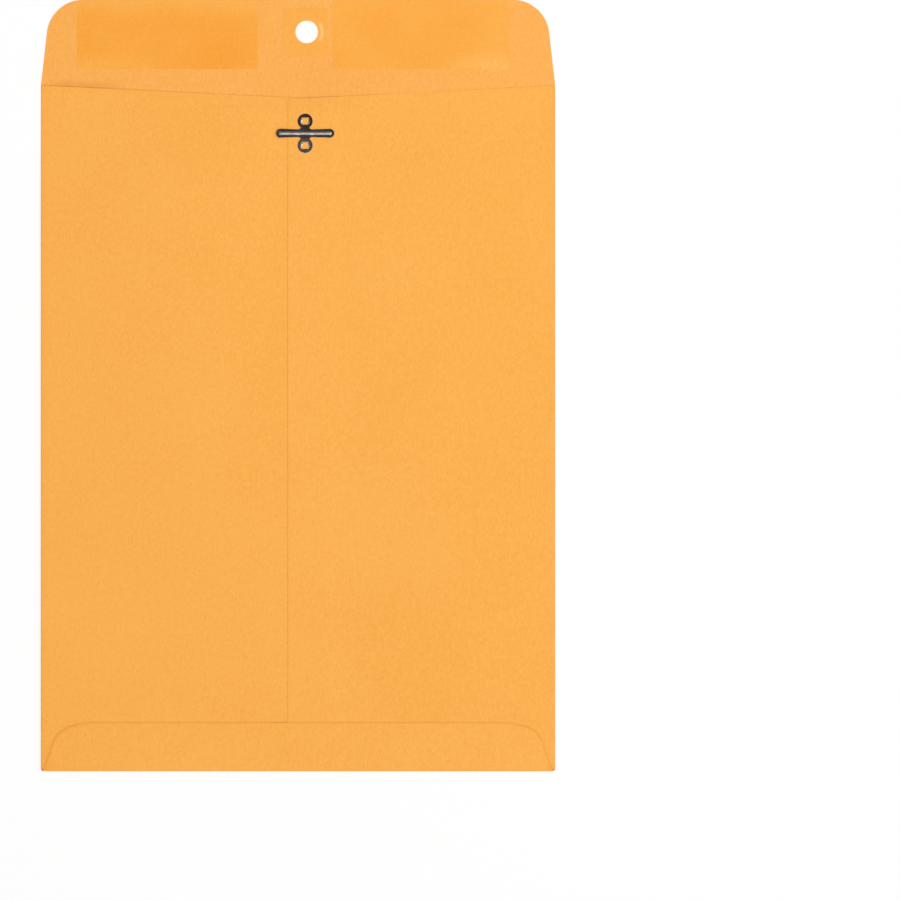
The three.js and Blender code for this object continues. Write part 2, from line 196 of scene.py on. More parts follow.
def rectangle(low: Sequence[float], high: Sequence[float], radius: float = 0.0, chord: float = 0.6) -> Loop:
    """A rectangle's outline, anticlockwise from its lower left corner.

    Args:
        low: Its lowest x and y.
        high: Its highest x and y.
        radius: Its corners' radius.
        chord: About how long the arcs' chords are.

    Returns:
        The outline's points.
    """
    corners = ((low[0], low[1]), (high[0], low[1]), (high[0], high[1]), (low[0], high[1]))
    return rounded([(x, y, radius) for x, y in corners], chord)


def mirrored(corners: Sequence[Corner]) -> list[Corner]:
    """Corners mirrored in X, in the order that carries an outline on."""
    return [(-x, y, radius) for x, y, radius in reversed(corners)]


def split_at(loop: Loop, columns: np.ndarray, rows: np.ndarray) -> Loop:
    """Adds points where an outline crosses the lines of a grid.

    Args:
        loop: The outline.
        columns: The grid's places along X.
        rows: The grid's places along Y.

    Returns:
        The same outline with the crossings as points.
    """
    apart = 1e-4
    made: list[np.ndarray] = []
    for here, ahead in zip(loop, np.roll(loop, -1, axis=0)):
        cuts = [0.0]
        for axis, lines in enumerate((columns, rows)):
            run = ahead[axis] - here[axis]
            if abs(run) > 1e-9:
                cuts.extend((lines - here[axis]) / run)
        ordered = sorted(t for t in cuts if 0.0 <= t < 1.0 - apart)
        kept = [t for i, t in enumerate(ordered) if i == 0 or t - ordered[i - 1] > apart]
        made.extend(here + (ahead - here) * t for t in kept)
    return np.array(made)


def inside(points: np.ndarray, loop: Loop) -> np.ndarray:
    """Which points lie inside an outline.

    Args:
        points: The points to test.
        loop: The outline.

    Returns:
        One truth value for each point.
    """
    within = np.zeros(len(points), bool)
    for (x0, y0), (x1, y1) in zip(loop, np.roll(loop, -1, axis=0)):
        if y0 == y1:
            continue
        crosses = (y0 > points[:, 1]) != (y1 > points[:, 1])
        within ^= crosses & (points[:, 0] < x0 + (points[:, 1] - y0) * (x1 - x0) / (y1 - y0))
    return within


def distance_to(points: np.ndarray, loop: Loop) -> np.ndarray:
    """How far points lie from an outline.

    Args:
        points: The points to measure from.
        loop: The outline.

    Returns:
        One distance for each point.
    """
    nearest = np.full(len(points), np.inf)
    for here, ahead in zip(loop, np.roll(loop, -1, axis=0)):
        run = ahead - here
        t = np.clip((points - here) @ run / max(run @ run, 1e-12), 0, 1)
        nearest = np.minimum(nearest, np.linalg.norm(points - here - t[:, None] * run, axis=1))
    return nearest


def fill(
    loops: Sequence[Loop], columns: np.ndarray, rows: np.ndarray, margin: float, more: Loop | None = None
) -> tuple[np.ndarray, np.ndarray, np.ndarray]:
    """Fills an outline, less its holes, with triangles on a grid.

    Args:
        loops: The outline, then its holes.
        columns: The grid's places along X.
        rows: The grid's places along Y.
        margin: How near to an outline a grid point may lie.
        more: Further points to use.

    Returns:
        The points, the triangles, and for each point of the loops its index among the points.
    """
    grid = np.stack(np.meshgrid(columns, rows), -1).reshape(-1, 2)
    if more is not None:
        grid = np.vstack([grid, more])
    grid = grid[inside(grid, loops[0])]
    for hole in loops[1:]:
        grid = grid[~inside(grid, hole)]
    for loop in loops:
        grid = grid[distance_to(grid, loop) > margin]
    edges: list[tuple[int, int]] = []
    first = 0
    for loop in loops:
        edges += [(first + i, first + (i + 1) % len(loop)) for i in range(len(loop))]
        first += len(loop)
    made = delaunay_2d_cdt([Vector(p) for p in np.vstack([*loops, grid])], edges, [], 0, 1e-7)
    points = np.array([tuple(v) for v in made[0]])
    triangles = np.array([f for f in made[2] if len(f) == 3])
    middles = points[triangles].mean(axis=1)
    keep = inside(middles, loops[0])
    for hole in loops[1:]:
        keep &= ~inside(middles, hole)
    triangles = triangles[keep]
    a, b, c = (points[triangles[:, i]] for i in range(3))
    turned = (b[:, 0] - a[:, 0]) * (c[:, 1] - a[:, 1]) < (b[:, 1] - a[:, 1]) * (c[:, 0] - a[:, 0])
    triangles[turned] = triangles[turned][:, ::-1]
    where = np.zeros(first, int)
    for index, origins in enumerate(made[3]):
        for origin in origins:
            if origin < first:
                where[origin] = index
    return points, triangles, where


# Meshes and node trees


def hex_colour(value: str) -> tuple[float, float, float, float]:
    """An sRGB hex value such as #fbb052 as a linear colour.

    Args:
        value: The hex value.

    Returns:
        Its red, green and blue, and an alpha of 1.
    """
    parts = [int(value[i : i + 2], 16) / 255 for i in (1, 3, 5)]
    linear = [c / 12.92 if c <= 0.04045 else ((c + 0.055) / 1.055) ** 2.4 for c in parts]
    return (linear[0], linear[1], linear[2], 1.0)


def linked(name: str, data: bpy.types.ID) -> Piece:
    """Makes an object of a mesh, lamp or camera and puts it into the scene.

    Args:
        name: Its name.
        data: Its data.

    Returns:
        The object.
    """
    made = bpy.data.objects.new(name, data)
    bpy.context.scene.collection.objects.link(made)
    return made


def mesh_object(name: str, points: np.ndarray, faces: Sequence, sharp_degrees: float = 40.0) -> Piece:
    """Makes a mesh object with smooth faces that keep their sharp edges.

    Args:
        name: The object's name.
        points: Its points in millimetres.
        faces: Its faces, as indices of points.
        sharp_degrees: Edges that turn by more than this stay sharp.

    Returns:
        The object, at the origin.
    """
    mesh = bpy.data.meshes.new(name)
    mesh.from_pydata((points * MM).tolist(), [], [list(map(int, f)) for f in faces])
    mesh.validate()
    mesh.shade_smooth()
    mesh.set_sharp_from_angle(angle=math.radians(sharp_degrees))
    return linked(name, mesh)


def bake_nodes(made: Piece, tree: bpy.types.NodeTree, values: dict[str, object]) -> None:
    """Runs a geometry node tree on an object and keeps the result as its plain mesh.

    Args:
        made: The object, whose mesh is the tree's input.
        tree: The tree.
        values: A value for each of the tree's named inputs.
    """
    modifier = made.modifiers.new("Nodes", "NODES")
    modifier.node_group = tree
    for item in tree.interface.items_tree:
        if item.item_type == "SOCKET" and item.in_out == "INPUT" and item.name in values:
            modifier[item.identifier] = values[item.name]
    evaluated = made.evaluated_get(bpy.context.evaluated_depsgraph_get())
    result = bpy.data.meshes.new_from_object(evaluated)
    made.modifiers.clear()
    made.data = result
    result.name = made.name


@dataclass(frozen=True)
class Graph:
    """A node tree, with short ways to add the nodes that this scene uses most."""

    tree: bpy.types.NodeTree

    def feed(self, node: bpy.types.Node, inputs: dict) -> None:
        """Gives inputs their values.

        Args:
            node: The node.
            inputs: A value, or the output socket to link, for each input socket's name or number.
        """
        for key, value in inputs.items():
            if isinstance(value, Socket):
                self.tree.links.new(value, node.inputs[key])
            else:
                node.inputs[key].default_value = value

    def add(self, kind: str, inputs: dict | None = None, output: int | str = 0, **settings) -> Socket:
        """Adds a node with its settings, values and links.

        Args:
            kind: The node's type name.
            inputs: What feed gives its inputs.
            output: The name or number of the output that is wanted.
            settings: The node's own properties.

        Returns:
            That output socket.
        """
        node = self.tree.nodes.new(kind)
        for key, value in settings.items():
            setattr(node, key, value)
        self.feed(node, inputs or {})
        return node.outputs[output]

    def attribute(self, name: str, output: str = "Fac") -> Socket:
        """An attribute of the mesh."""
        return self.add("ShaderNodeAttribute", output=output, attribute_name=name)

    def scaled(self, place: Socket, scale: Corner) -> Socket:
        """Places, scaled along each axis."""
        return self.add("ShaderNodeMapping", {"Vector": place, "Scale": scale})

    def noise(self, place: Socket, size_mm: float, **values: float) -> Socket:
        """Noise with blots of about a size, and with values for its other inputs."""
        return self.add("ShaderNodeTexNoise", {"Vector": place, "Scale": 1 / (size_mm * MM), **values})

    def maths(self, operation: str, *values: float | Socket, clamp: bool = False) -> Socket:
        """An operation on numbers or sockets."""
        return self.add("ShaderNodeMath", dict(enumerate(values)), operation=operation, use_clamp=clamp)

    def ramp(
        self, value: Socket, start: float, end: float, low: float = 0.0, high: float = 1.0, **settings
    ) -> Socket:
        """Turns start and end into low and high, with what lies beyond them held there."""
        inputs = {"Value": value, "From Min": start, "From Max": end, "To Min": low, "To Max": high}
        return self.add("ShaderNodeMapRange", inputs, **settings)

    def mix(self, share: Socket, first: object, second: object) -> Socket:
        """A colour between two others."""
        return self.add("ShaderNodeMix", {0: share, 6: first, 7: second}, 2, data_type="RGBA")

    def bump(self, height: Socket, depth_mm: float, **values: float) -> Socket:
        """A normal that follows a height."""
        return self.add("ShaderNodeBump", {"Height": height, "Distance": depth_mm * MM, **values})

    def deliver(self, copies: Socket, material: Socket) -> bpy.types.NodeTree:
        """Ends a geometry tree.

        Args:
            copies: The instances to make real.
            material: The finish that they get.

        Returns:
            The tree.
        """
        real = self.add("GeometryNodeRealizeInstances", {"Geometry": copies})
        dressed = self.add("GeometryNodeSetMaterial", {"Geometry": real, "Material": material})
        self.feed(self.tree.nodes.new("NodeGroupOutput"), {"Geometry": dressed})
        return self.tree


def new_tree(name: str, inputs: dict[str, str]) -> tuple[Graph, bpy.types.NodeOutputs]:
    """Starts a geometry node tree with named inputs.

    Args:
        name: The tree's name.
        inputs: The kind of socket for each input's name, such as Float.

    Returns:
        The tree's graph, and the sockets of its inputs by name.
    """
    tree = bpy.data.node_groups.new(name, "GeometryNodeTree")
    for key, kind in {"Geometry": "Geometry", **inputs}.items():
        tree.interface.new_socket(key, in_out="INPUT", socket_type=f"NodeSocket{kind}")
    tree.interface.new_socket("Geometry", in_out="OUTPUT", socket_type="NodeSocketGeometry")
    return Graph(tree), tree.nodes.new("NodeGroupInput").outputs


def new_material(name: str) -> tuple[Material, Graph, bpy.types.Node]:
    """Starts a material: itself, its graph and its surface shader.

    Args:
        name: Its name.

    Returns:
        The material, its graph and its surface shader.
    """
    made = bpy.data.materials.new(name)
    made.use_nodes = True
    return made, Graph(made.node_tree), made.node_tree.nodes["Principled BSDF"]


# Finishes


@dataclass(frozen=True)
class KraftFinish:
    """Golden kraft: bleached and dyed wood pulp, machine finished, so matte with a soft cloudy mottle."""

    name: str
    colour: str = "#f9af4e"
    dark: str = "#f1a23f"
    light: str = "#feb95e"
    fold_colour: str = "#ee9738"
    # Colour of the pressed score line, and on some sheets of painted shadow and painted highlight.
    score_and_painted_light_colour: str = "#ffc26c"
    cloud_mm: float = 60.0
    mottle_mm: float = 2.4
    fibre_length_mm: float = 1.6
    fibre_width_mm: float = 0.7
    cloud_share: float = 0.2
    mottle_share: float = 0.2
    fibre_share: float = 0.6
    spread: float = 0.18
    contrast: float = 0.75
    tooth_mm: float = 0.03
    roughness: float = 0.82
    specular: float = 0.25

    def material(self) -> Material:
        """Builds the paper, whose pattern follows the flat sheet it was cut from.

        Returns:
            The material.
        """
        made, graph, shader = new_material(self.name)
        flat = graph.attribute("flat", "Vector")
        clouds = graph.noise(flat, self.cloud_mm, Detail=2.0, Roughness=0.5)
        mottle = graph.noise(flat, self.mottle_mm, Detail=4.0, Roughness=0.6)
        grain = graph.scaled(flat, (1.0, self.fibre_width_mm / self.fibre_length_mm, 1.0))
        fibres = graph.noise(grain, self.fibre_width_mm, Detail=3.0, Roughness=0.65, Distortion=0.6)
        pattern: float | Socket = 0.0
        layers = ((clouds, self.cloud_share), (mottle, self.mottle_share), (fibres, self.fibre_share))
        for layer, share in layers:
            pattern = graph.maths("MULTIPLY_ADD", layer, share, pattern)
        tones = (
            (graph.ramp(pattern, 0.5, 0.5 - self.spread, high=self.contrast), self.dark),
            (graph.ramp(pattern, 0.5, 0.5 + self.spread, high=self.contrast), self.light),
            # The fold tone is a darker tint at the folds, and painted edge shade with a paste stain along
            # the bottom flap.
            (graph.attribute("fold"), self.fold_colour),
            # The score tone is the pressed line on the address side, and painted shadow and painted
            # highlight on upper faces.
            (graph.attribute("score"), self.score_and_painted_light_colour),
        )
        colour: object = hex_colour(self.colour)
        for share, tone in tones:
            colour = graph.mix(share, colour, hex_colour(tone))
        tooth = graph.bump(pattern, self.tooth_mm, Strength=1.0)
        graph.feed(shader, {"Base Color": colour, "Normal": tooth})
        graph.feed(shader, {"Roughness": self.roughness, "Specular IOR Level": self.specular})
        return made


@dataclass(frozen=True)
class GumFinish:
    """Remoistenable gum: a dried film of dextrin, clear, glossier than paper and rippled where thin."""

    name: str
    colour: str = "#f9a12d"
    dry_colour: str = "#feb44b"
    ripple_colour: str = "#ffc67c"
    grain_mm: float = 0.6
    darkest_grain: float = 0.934
    palest_grain: float = 1.046
    ripple_mm: float = 0.8
    ripple_run_mm: float = 2.6
    ripple_depth_mm: float = 0.06
    ripple_share: float = 0.6
    dry_share: float = 0.65
    pool_mm: float = 26.0
    pool_share: float = 0.35
    grain_span: Span = (0.3, 0.7)
    ripple_span: Span = (0.48, 0.72)
    crazed_span: Span = (0.45, 0.95)
    pool_span: Span = (0.35, 0.7)
    roughness: float = 0.45
    index: float = 1.5

    def material(self) -> Material:
        """Builds the film, which pools deeper in places and dries paler in others.

        Returns:
            The material.
        """
        made, graph, shader = new_material(self.name)
        flat = graph.attribute("flat", "Vector")
        pools = graph.noise(flat, self.pool_mm, Detail=3.0)
        grain = graph.noise(flat, self.grain_mm, Detail=2.0, Roughness=0.6)
        runs = graph.scaled(flat, (1.0, self.ripple_mm / self.ripple_run_mm, 1.0))
        ripples = graph.noise(runs, self.ripple_mm, Detail=2.0, Distortion=1.2)
        ridges = graph.ramp(ripples, *self.ripple_span)
        dryness = graph.attribute("dry")
        crazed = graph.ramp(dryness, *self.crazed_span, high=self.ripple_share)
        shown = graph.maths("MULTIPLY", ridges, crazed)
        pooled = graph.ramp(pools, *self.pool_span, high=self.pool_share)
        total = graph.maths("MULTIPLY_ADD", dryness, self.dry_share, pooled, clamp=True)
        tint = graph.mix(total, hex_colour(self.colour), hex_colour(self.dry_colour))
        rippled = graph.mix(shown, tint, hex_colour(self.ripple_colour))
        speckle = graph.ramp(grain, *self.grain_span, self.darkest_grain, self.palest_grain)
        speckled = graph.add("ShaderNodeVectorMath", {0: rippled, 1: speckle}, operation="MULTIPLY")
        graph.feed(shader, {"Base Color": speckled, "Normal": graph.bump(shown, self.ripple_depth_mm)})
        graph.feed(shader, {"Roughness": self.roughness, "IOR": self.index})
        return made


@dataclass(frozen=True)
class TinplateFinish:
    """Tinplate: cold-rolled steel with a thin tin skin, so a grey metal with a faint rolled grain."""

    name: str
    colour: str = "#b5afab"
    dull_colour: str = "#9a9088"
    grain_mm: float = 0.12
    grain_run_mm: float = 4.0
    grain_depth_mm: float = 0.004
    stain_mm: float = 2.6
    stain_span: Span = (0.4, 0.68)
    polish_span: Span = (0.35, 0.7)
    polished: float = 0.15
    dulled: float = 0.25

    def material(self) -> Material:
        """Builds the metal, with its grain along the bar and dull patches from handling.

        Returns:
            The material.
        """
        made, graph, shader = new_material(self.name)
        place = graph.add("ShaderNodeTexCoord", output="Object")
        rolled = graph.scaled(place, (self.grain_mm / self.grain_run_mm, 1.0, 1.0))
        grain = graph.noise(rolled, self.grain_mm, Detail=2.0)
        stains = graph.noise(place, self.stain_mm, Detail=4.0, Roughness=0.6)
        dullness = graph.ramp(stains, *self.stain_span)
        tint = graph.mix(dullness, hex_colour(self.colour), hex_colour(self.dull_colour))
        polish = graph.ramp(stains, *self.polish_span, self.polished, self.dulled)
        scratches = graph.bump(grain, self.grain_depth_mm, Strength=0.6)
        graph.feed(shader, {"Base Color": tint, "Roughness": polish, "Normal": scratches, "Metallic": 1.0})
        return made


@dataclass(frozen=True)
class PlainFinish:
    """A simple surface such as dried paste, a dark shive or the studio's floor."""

    name: str
    colour: str
    roughness: float
    vary_mm: float
    vary_colour: str

    def material(self) -> Material:
        """Builds the surface with a slow change between its two colours.

        Returns:
            The material.
        """
        made, graph, shader = new_material(self.name)
        noise = graph.noise(graph.add("ShaderNodeTexCoord", output="Object"), self.vary_mm, Detail=3.0)
        tint = graph.mix(noise, hex_colour(self.colour), hex_colour(self.vary_colour))
        graph.feed(shader, {"Base Color": tint, "Roughness": self.roughness})
        return made


@dataclass(frozen=True)
class Finishes:
    """Every finish of the envelope."""

    outer: Material
    inner: Material
    cut_edge: Material
    patch: Material
    gum: Material
    paste: Material
    shive: Material
    tinplate: Material

    @classmethod
    def make(cls) -> "Finishes":
        """Builds all the materials once.

        Returns:
            The finishes.
        """
        # The inner finish's score colour is the painted shadow beside the throat.
        inner = {"colour": "#f9ae53", "dark": "#f2a345", "light": "#feba63", "score_and_painted_light_colour": "#e8923f"}
        cut_edge = {"colour": "#fdbc6a", "dark": "#f3ae58", "light": "#ffc77c"}
        # The patch's score colour is the painted highlight of the crescent beside the hole.
        patch = {"colour": "#f9ac4a", "dark": "#f3a23f", "light": "#fdb65a", "score_and_painted_light_colour": "#ffd080"}
        paste = PlainFinish("dried_paste", "#ead9b6", roughness=0.6, vary_mm=4.0, vary_colour="#e0cda6")
        shive = PlainFinish("pulp_shive", "#a8682c", roughness=0.9, vary_mm=3.0, vary_colour="#c98b45")
        return cls(
            outer=KraftFinish("golden_kraft_outside").material(),
            inner=KraftFinish("golden_kraft_inside", **inner).material(),
            cut_edge=KraftFinish("golden_kraft_cut_edge", **cut_edge).material(),
            patch=KraftFinish("golden_kraft_patch", **patch).material(),
            gum=GumFinish("dried_dextrin_gum").material(),
            paste=paste.material(),
            shive=shive.material(),
            tinplate=TinplateFinish("tinplate").material(),
        )


# The frame's sizes


def box_mm(node: str) -> np.ndarray:
    """The lowest and highest corner of one of the frame's nodes, in millimetres."""
    return np.array([list(corner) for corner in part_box(node)]) / MM


@dataclass(frozen=True)
class Layout:
    """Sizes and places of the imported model, in millimetres."""

    half_width: float
    bottom_y: float
    panel_bottom_y: float
    bottom_fold_y: float
    bottom_fold_x: float
    bottom_flap_y: float
    crease_y: float
    hinge_y: float
    end_y: float
    paper: float
    back_z: float
    seam_rise: float
    glue: float
    side_fold_x: float
    seam_left_x: float
    seam_right_x: float
    throat_end_y: float
    clasp_x: float
    clasp_y: float
    clasp_z: float

    @classmethod
    def read(cls) -> "Layout":
        """Reads the sizes from the nodes of the frame.

        Returns:
            The sizes.
        """
        fold_end_clearance = 0.1
        flap, left, right = box_mm("seal_flap"), box_mm("left_back_panel"), box_mm("right_back_panel")
        bottom_fold, base, glue = box_mm("bottom_fold"), box_mm("clasp_base"), box_mm("seam_adhesive")
        return cls(
            half_width=box_mm("front_panel")[1, 0],
            bottom_y=bottom_fold[0, 1],
            panel_bottom_y=left[0, 1],
            bottom_fold_y=bottom_fold[1, 1],
            bottom_fold_x=bottom_fold[1, 0],
            bottom_flap_y=box_mm("bottom_flap")[1, 1],
            crease_y=box_mm("left_side_fold")[1, 1] + fold_end_clearance,
            hinge_y=flap[0, 1],
            end_y=flap[1, 1],
            paper=flap[1, 2],
            back_z=left[0, 2],
            seam_rise=right[1, 2] - left[1, 2],
            glue=glue[1, 2] - glue[0, 2],
            side_fold_x=-left[0, 0],
            seam_left_x=right[0, 0],
            seam_right_x=left[1, 0],
            throat_end_y=left[1, 1],
            clasp_x=(base[0, 0] + base[1, 0]) / 2,
            clasp_y=(base[0, 1] + base[1, 1]) / 2,
            clasp_z=box_mm("clasp_prong_right")[0, 2],
        )


# Paper


@dataclass
class Sheet:
    """A thin sheet that is cut flat and then laid by a rule.

    The rule turns flat places into the middle of the sheet's thickness. Triangles follow a grid of
    columns and rows, which lie closer where the sheet is rolled.
    """

    name: str
    outline: Loop
    rule: Rule
    thickness: float
    columns: np.ndarray
    rows: np.ndarray
    holes: list[Loop] = field(default_factory=list)
    fold: Rule | None = None
    score: Rule | None = None
    # The upper face's rule for the score attribute, which holds painted shadow on the front sheet and a
    # painted highlight on the patch.
    upper_painted_light: Rule | None = None
    dry: Rule | None = None
    ply: float = 0.0
    margin: float = 0.12
    hems: tuple[float, ...] = ()
    hems_above: float = -math.inf
    hem_clear: float = 0.9

    def hem_points(self, loop: Loop) -> Loop | None:
        """Points that follow an outline on its inner side, at each of the hems' widths.

        Args:
            loop: The outline, anticlockwise.

        Returns:
            The points, or nothing for a sheet without hems.
        """
        if not self.hems:
            return None
        run = np.roll(loop, -1, axis=0) - np.roll(loop, 1, axis=0)
        inward = np.column_stack([-run[:, 1], run[:, 0]]) / np.linalg.norm(run, axis=1)[:, None]
        made = [loop + inward * width for width in self.hems]
        apart = [self.hem_clear * width for width in self.hems]
        kept = [points[distance_to(points, loop) > clear] for points, clear in zip(made, apart)]
        hemmed = np.vstack(kept)
        return hemmed[hemmed[:, 1] > self.hems_above]

    def build(self, upper: Material, lower: Material, rim: Material) -> Piece:
        """Makes the sheet's mesh.

        Args:
            upper: The finish of the side that the flat sheet shows from above.
            lower: The finish of its other side.
            rim: The finish of its cut edges.

        Returns:
            The object, with the attributes that the finishes read.
        """
        loops = [split_at(loop, self.columns, self.rows) for loop in (self.outline, *self.holes)]
        flat, triangles, _ = fill(loops, self.columns, self.rows, self.margin, self.hem_points(loops[0]))
        middle = self.rule(flat)
        reach = 0.01
        across = self.rule(flat + (reach, 0)) - self.rule(flat - (reach, 0))
        along = self.rule(flat + (0, reach)) - self.rule(flat - (0, reach))
        normal = np.cross(across, along)
        normal *= self.thickness / 2 / np.linalg.norm(normal, axis=1)[:, None]
        count = len(flat)
        sides = set(map(tuple, np.vstack([triangles[:, [i, (i + 1) % 3]] for i in range(3)]).tolist()))
        rims = [(a + count, b + count, b, a) for a, b in sorted(sides) if (b, a) not in sides]
        faces = [*triangles.tolist(), *(triangles[:, ::-1] + count).tolist(), *rims]
        made = mesh_object(self.name, np.vstack([middle + normal, middle - normal]), faces)
        for finish in (upper, lower, rim):
            made.data.materials.append(finish)
        kind = np.repeat([0, 1, 2], [len(triangles), len(triangles), len(rims)])
        made.data.polygons.foreach_set("material_index", kind.astype(np.int32))
        marks = np.column_stack([flat * MM, np.full(count, self.ply)])
        attribute = made.data.attributes.new("flat", "FLOAT_VECTOR", "POINT")
        attribute.data.foreach_set("vector", np.tile(marks, (2, 1)).astype(np.float32).ravel())
        none = np.zeros(count)
        for key, above, below in (
            ("fold", self.fold, self.fold),
            # The score attribute holds the pressed line on the lower face, and painted light on the upper
            # face.
            ("score", self.upper_painted_light, self.score),
            ("dry", self.dry, None),
        ):
            values = [none if rule is None else rule(flat) for rule in (above, below)]
            attribute = made.data.attributes.new(key, "FLOAT", "POINT")
            attribute.data.foreach_set("value", np.concatenate(values).astype(np.float32))
        return made


@dataclass
class PaperForm:
    """How far each layer of paper stands off its flat place: a little loft, curl and cockle."""

    layout: Layout
    loft: float = 0.45
    loft_from_crease: float = 70.0
    loft_from_flap: float = 50.0
    flap_curl: float = 0.35
    curl_sway: float = 0.25
    curl_run: float = 190.0
    curl_shift: float = 20.0
    curl_from: float = 1.5
    cockle: float = 0.07
    cockle_run: float = 62.0
    jog_run: float = 7.0
    lay: float = 0.3
    throat_depth: float = 5.8
    throat_rise: float = 0.25
    rise_half_width: float = 100.0
    left_press: float = 0.76
    right_press: float = 0.95
    seam_press: float = 0.58
    press_from_crease: float = 48.0
    press_run: float = 40.0
    press_y: float = 121.0
    away_run: float = 42.0
    rise_from_crease: float = 60.0
    rise_run: float = 52.0
    clasp_half_width: float = 13.0
    clasp_half_height: float = 9.2
    dent: float = 0.12
    dent_reach: float = 1.9
    dent_margin: float = 1.5
    dent_steps: int = 14
    ring_y: float = 5.4

    def waves(self, p: np.ndarray) -> np.ndarray:
        """Two slow waves in arbitrary directions, from -1 to 1.

        Args:
            p: Flat places.

        Returns:
            A value for each place.
        """
        k = 2 * math.pi / self.cockle_run
        first = np.sin(k * p[:, 0] + 1.3) * np.cos(0.7 * k * p[:, 1] + 0.4)
        second = np.sin(1.7 * k * (p[:, 0] * 0.5 + p[:, 1] * 0.86) + 2.1)
        return 0.6 * first + 0.4 * second

    def back_lift(self, p: np.ndarray) -> np.ndarray:
        """How far the back panels bow up between the seam, the folds and the glued bottom flap.

        Args:
            p: Flat places.

        Returns:
            A height for each place.
        """
        lay = self.layout
        left_share = (p[:, 0] + lay.side_fold_x) / (lay.seam_left_x - self.jog_run + lay.side_fold_x)
        right_run = lay.side_fold_x - lay.seam_right_x - self.lay - self.jog_run
        share = np.where(p[:, 0] < 0, left_share, (lay.side_fold_x - p[:, 0]) / right_run)
        from_flap = smooth((p[:, 1] - lay.bottom_flap_y - 1) / self.loft_from_flap)
        ends = smooth((lay.crease_y - p[:, 1]) / self.loft_from_crease) * from_flap
        return np.sin(np.pi * np.clip(share, 0, 1)) * ends * (self.loft + self.cockle * self.waves(p))

    def seam_step(self, p: np.ndarray, left_too: bool) -> np.ndarray:
        """How far a layer is raised where it lies over the lapped seam.

        Args:
            p: Flat places.
            left_too: Whether it comes down to the left of the seam as well.

        Returns:
            A height for each place.
        """
        lay = self.layout
        raised = smooth((lay.seam_right_x + self.lay + self.jog_run - p[:, 0]) / self.jog_run)
        if left_too:
            raised = raised * smooth((p[:, 0] - lay.seam_left_x + self.lay + self.jog_run) / self.jog_run)
        return raised * lay.seam_rise

    def dented(self, p: np.ndarray) -> np.ndarray:
        """How far the clinched tabs pull the seam's layers down inside each ring of the clasp.

        Args:
            p: Flat places.

        Returns:
            A depth for each place.
        """
        lay = self.layout
        across = (p[:, 0] - lay.clasp_x) / self.dent_reach
        along = (np.abs(p[:, 1] - lay.clasp_y) - self.ring_y) / self.dent_reach
        return self.dent * np.exp(-(across**4) - along**4)

    def pressed(self, p: np.ndarray, z: np.ndarray) -> np.ndarray:
        """Heights of the back's layers, pressed down on to the front along the throat.

        The seam stays up as far as the clasp and comes down beyond it.

        Args:
            p: Flat places.
            z: The heights before.

        Returns:
            The heights after.
        """
        lay = self.layout
        press = np.where(p[:, 0] < 0, self.left_press, self.right_press)
        wide = press * smooth((p[:, 1] - lay.crease_y + self.press_from_crease) / self.press_run)
        clasp_top = lay.clasp_y + self.clasp_half_height
        narrow = smooth((p[:, 1] - clasp_top) / (lay.crease_y - self.throat_depth - clasp_top))
        away = smooth((np.abs(p[:, 0] - lay.clasp_x) - self.clasp_half_width) / self.away_run)
        share = wide * away + self.seam_press * narrow * (1 - away)
        front, back = lay.paper / 2, lay.back_z + lay.paper / 2
        depth = (lay.back_z - lay.paper) * share
        return z - depth * np.clip((z - front) / (back - front), 0, 1) - self.dented(p)

    def dent_columns(self) -> tuple[float, float, int]:
        """The stretch across the dents, for a grid."""
        reach = self.dent_reach * self.dent_margin
        return self.layout.clasp_x - reach, self.layout.clasp_x + reach, self.dent_steps

    def dent_rows(self) -> list[tuple[float, float, int]]:
        """The stretches along the two dents, for a grid.

        Returns:
            For each, its two ends and how many steps it has.
        """
        reach = self.dent_reach * self.dent_margin
        middles = (self.layout.clasp_y - self.ring_y, self.layout.clasp_y + self.ring_y)
        return [(middle - reach, middle + reach, self.dent_steps) for middle in middles]

    def sheet_lift(self, p: np.ndarray) -> np.ndarray:
        """How far the front sheet and the open flap stand off the surface they lie on.

        Args:
            p: Flat places.

        Returns:
            A height for each place.
        """
        lay = self.layout
        from_seam = np.clip(np.abs(p[:, 0] - lay.clasp_x) / self.rise_half_width, 0, 1)
        across = np.cos(from_seam * np.pi / 2) ** 2
        along = smooth((p[:, 1] - lay.crease_y + self.rise_from_crease) / self.rise_run)
        return self.throat_rise * along * across + self.flap_lift(p)

    def flap_lift(self, p: np.ndarray) -> np.ndarray:
        """How far the open seal flap curls up from its crease.

        Args:
            p: Flat places.

        Returns:
            A height for each place.
        """
        lay = self.layout
        share = np.clip((p[:, 1] - lay.hinge_y - self.curl_from) / (lay.end_y - lay.hinge_y), 0, 1)
        turn = 2 * np.pi * (p[:, 0] + self.curl_shift) / self.curl_run
        sway = 1 - self.curl_sway + self.curl_sway * np.cos(turn)
        return self.flap_curl * sway * share**2 + self.cockle * share * (1 + self.waves(p))


@dataclass
class SealFlapShape:
    """The seal flap's outline and hole."""

    layout: Layout
    taper_degrees: float = 6.5
    corner_radius: float = 16.5
    hole_radius: float = 5.03
    hole_x: float = 3.9
    hole_from_crease: float = 23.7
    hole_chords: int = 72

    def half_width(self, y: float) -> float:
        """Half the sheet's width at a place above the crease."""
        draw_in = math.tan(math.radians(self.taper_degrees))
        return self.layout.half_width - (y - self.layout.crease_y) * draw_in

    def hole_middle(self) -> tuple[float, float]:
        """The hole's middle."""
        return self.hole_x, self.layout.crease_y + self.hole_from_crease

    def hole(self) -> Loop:
        """The hole's outline."""
        return arc(self.hole_middle(), self.hole_radius, 0, 360, self.hole_chords)[:-1]


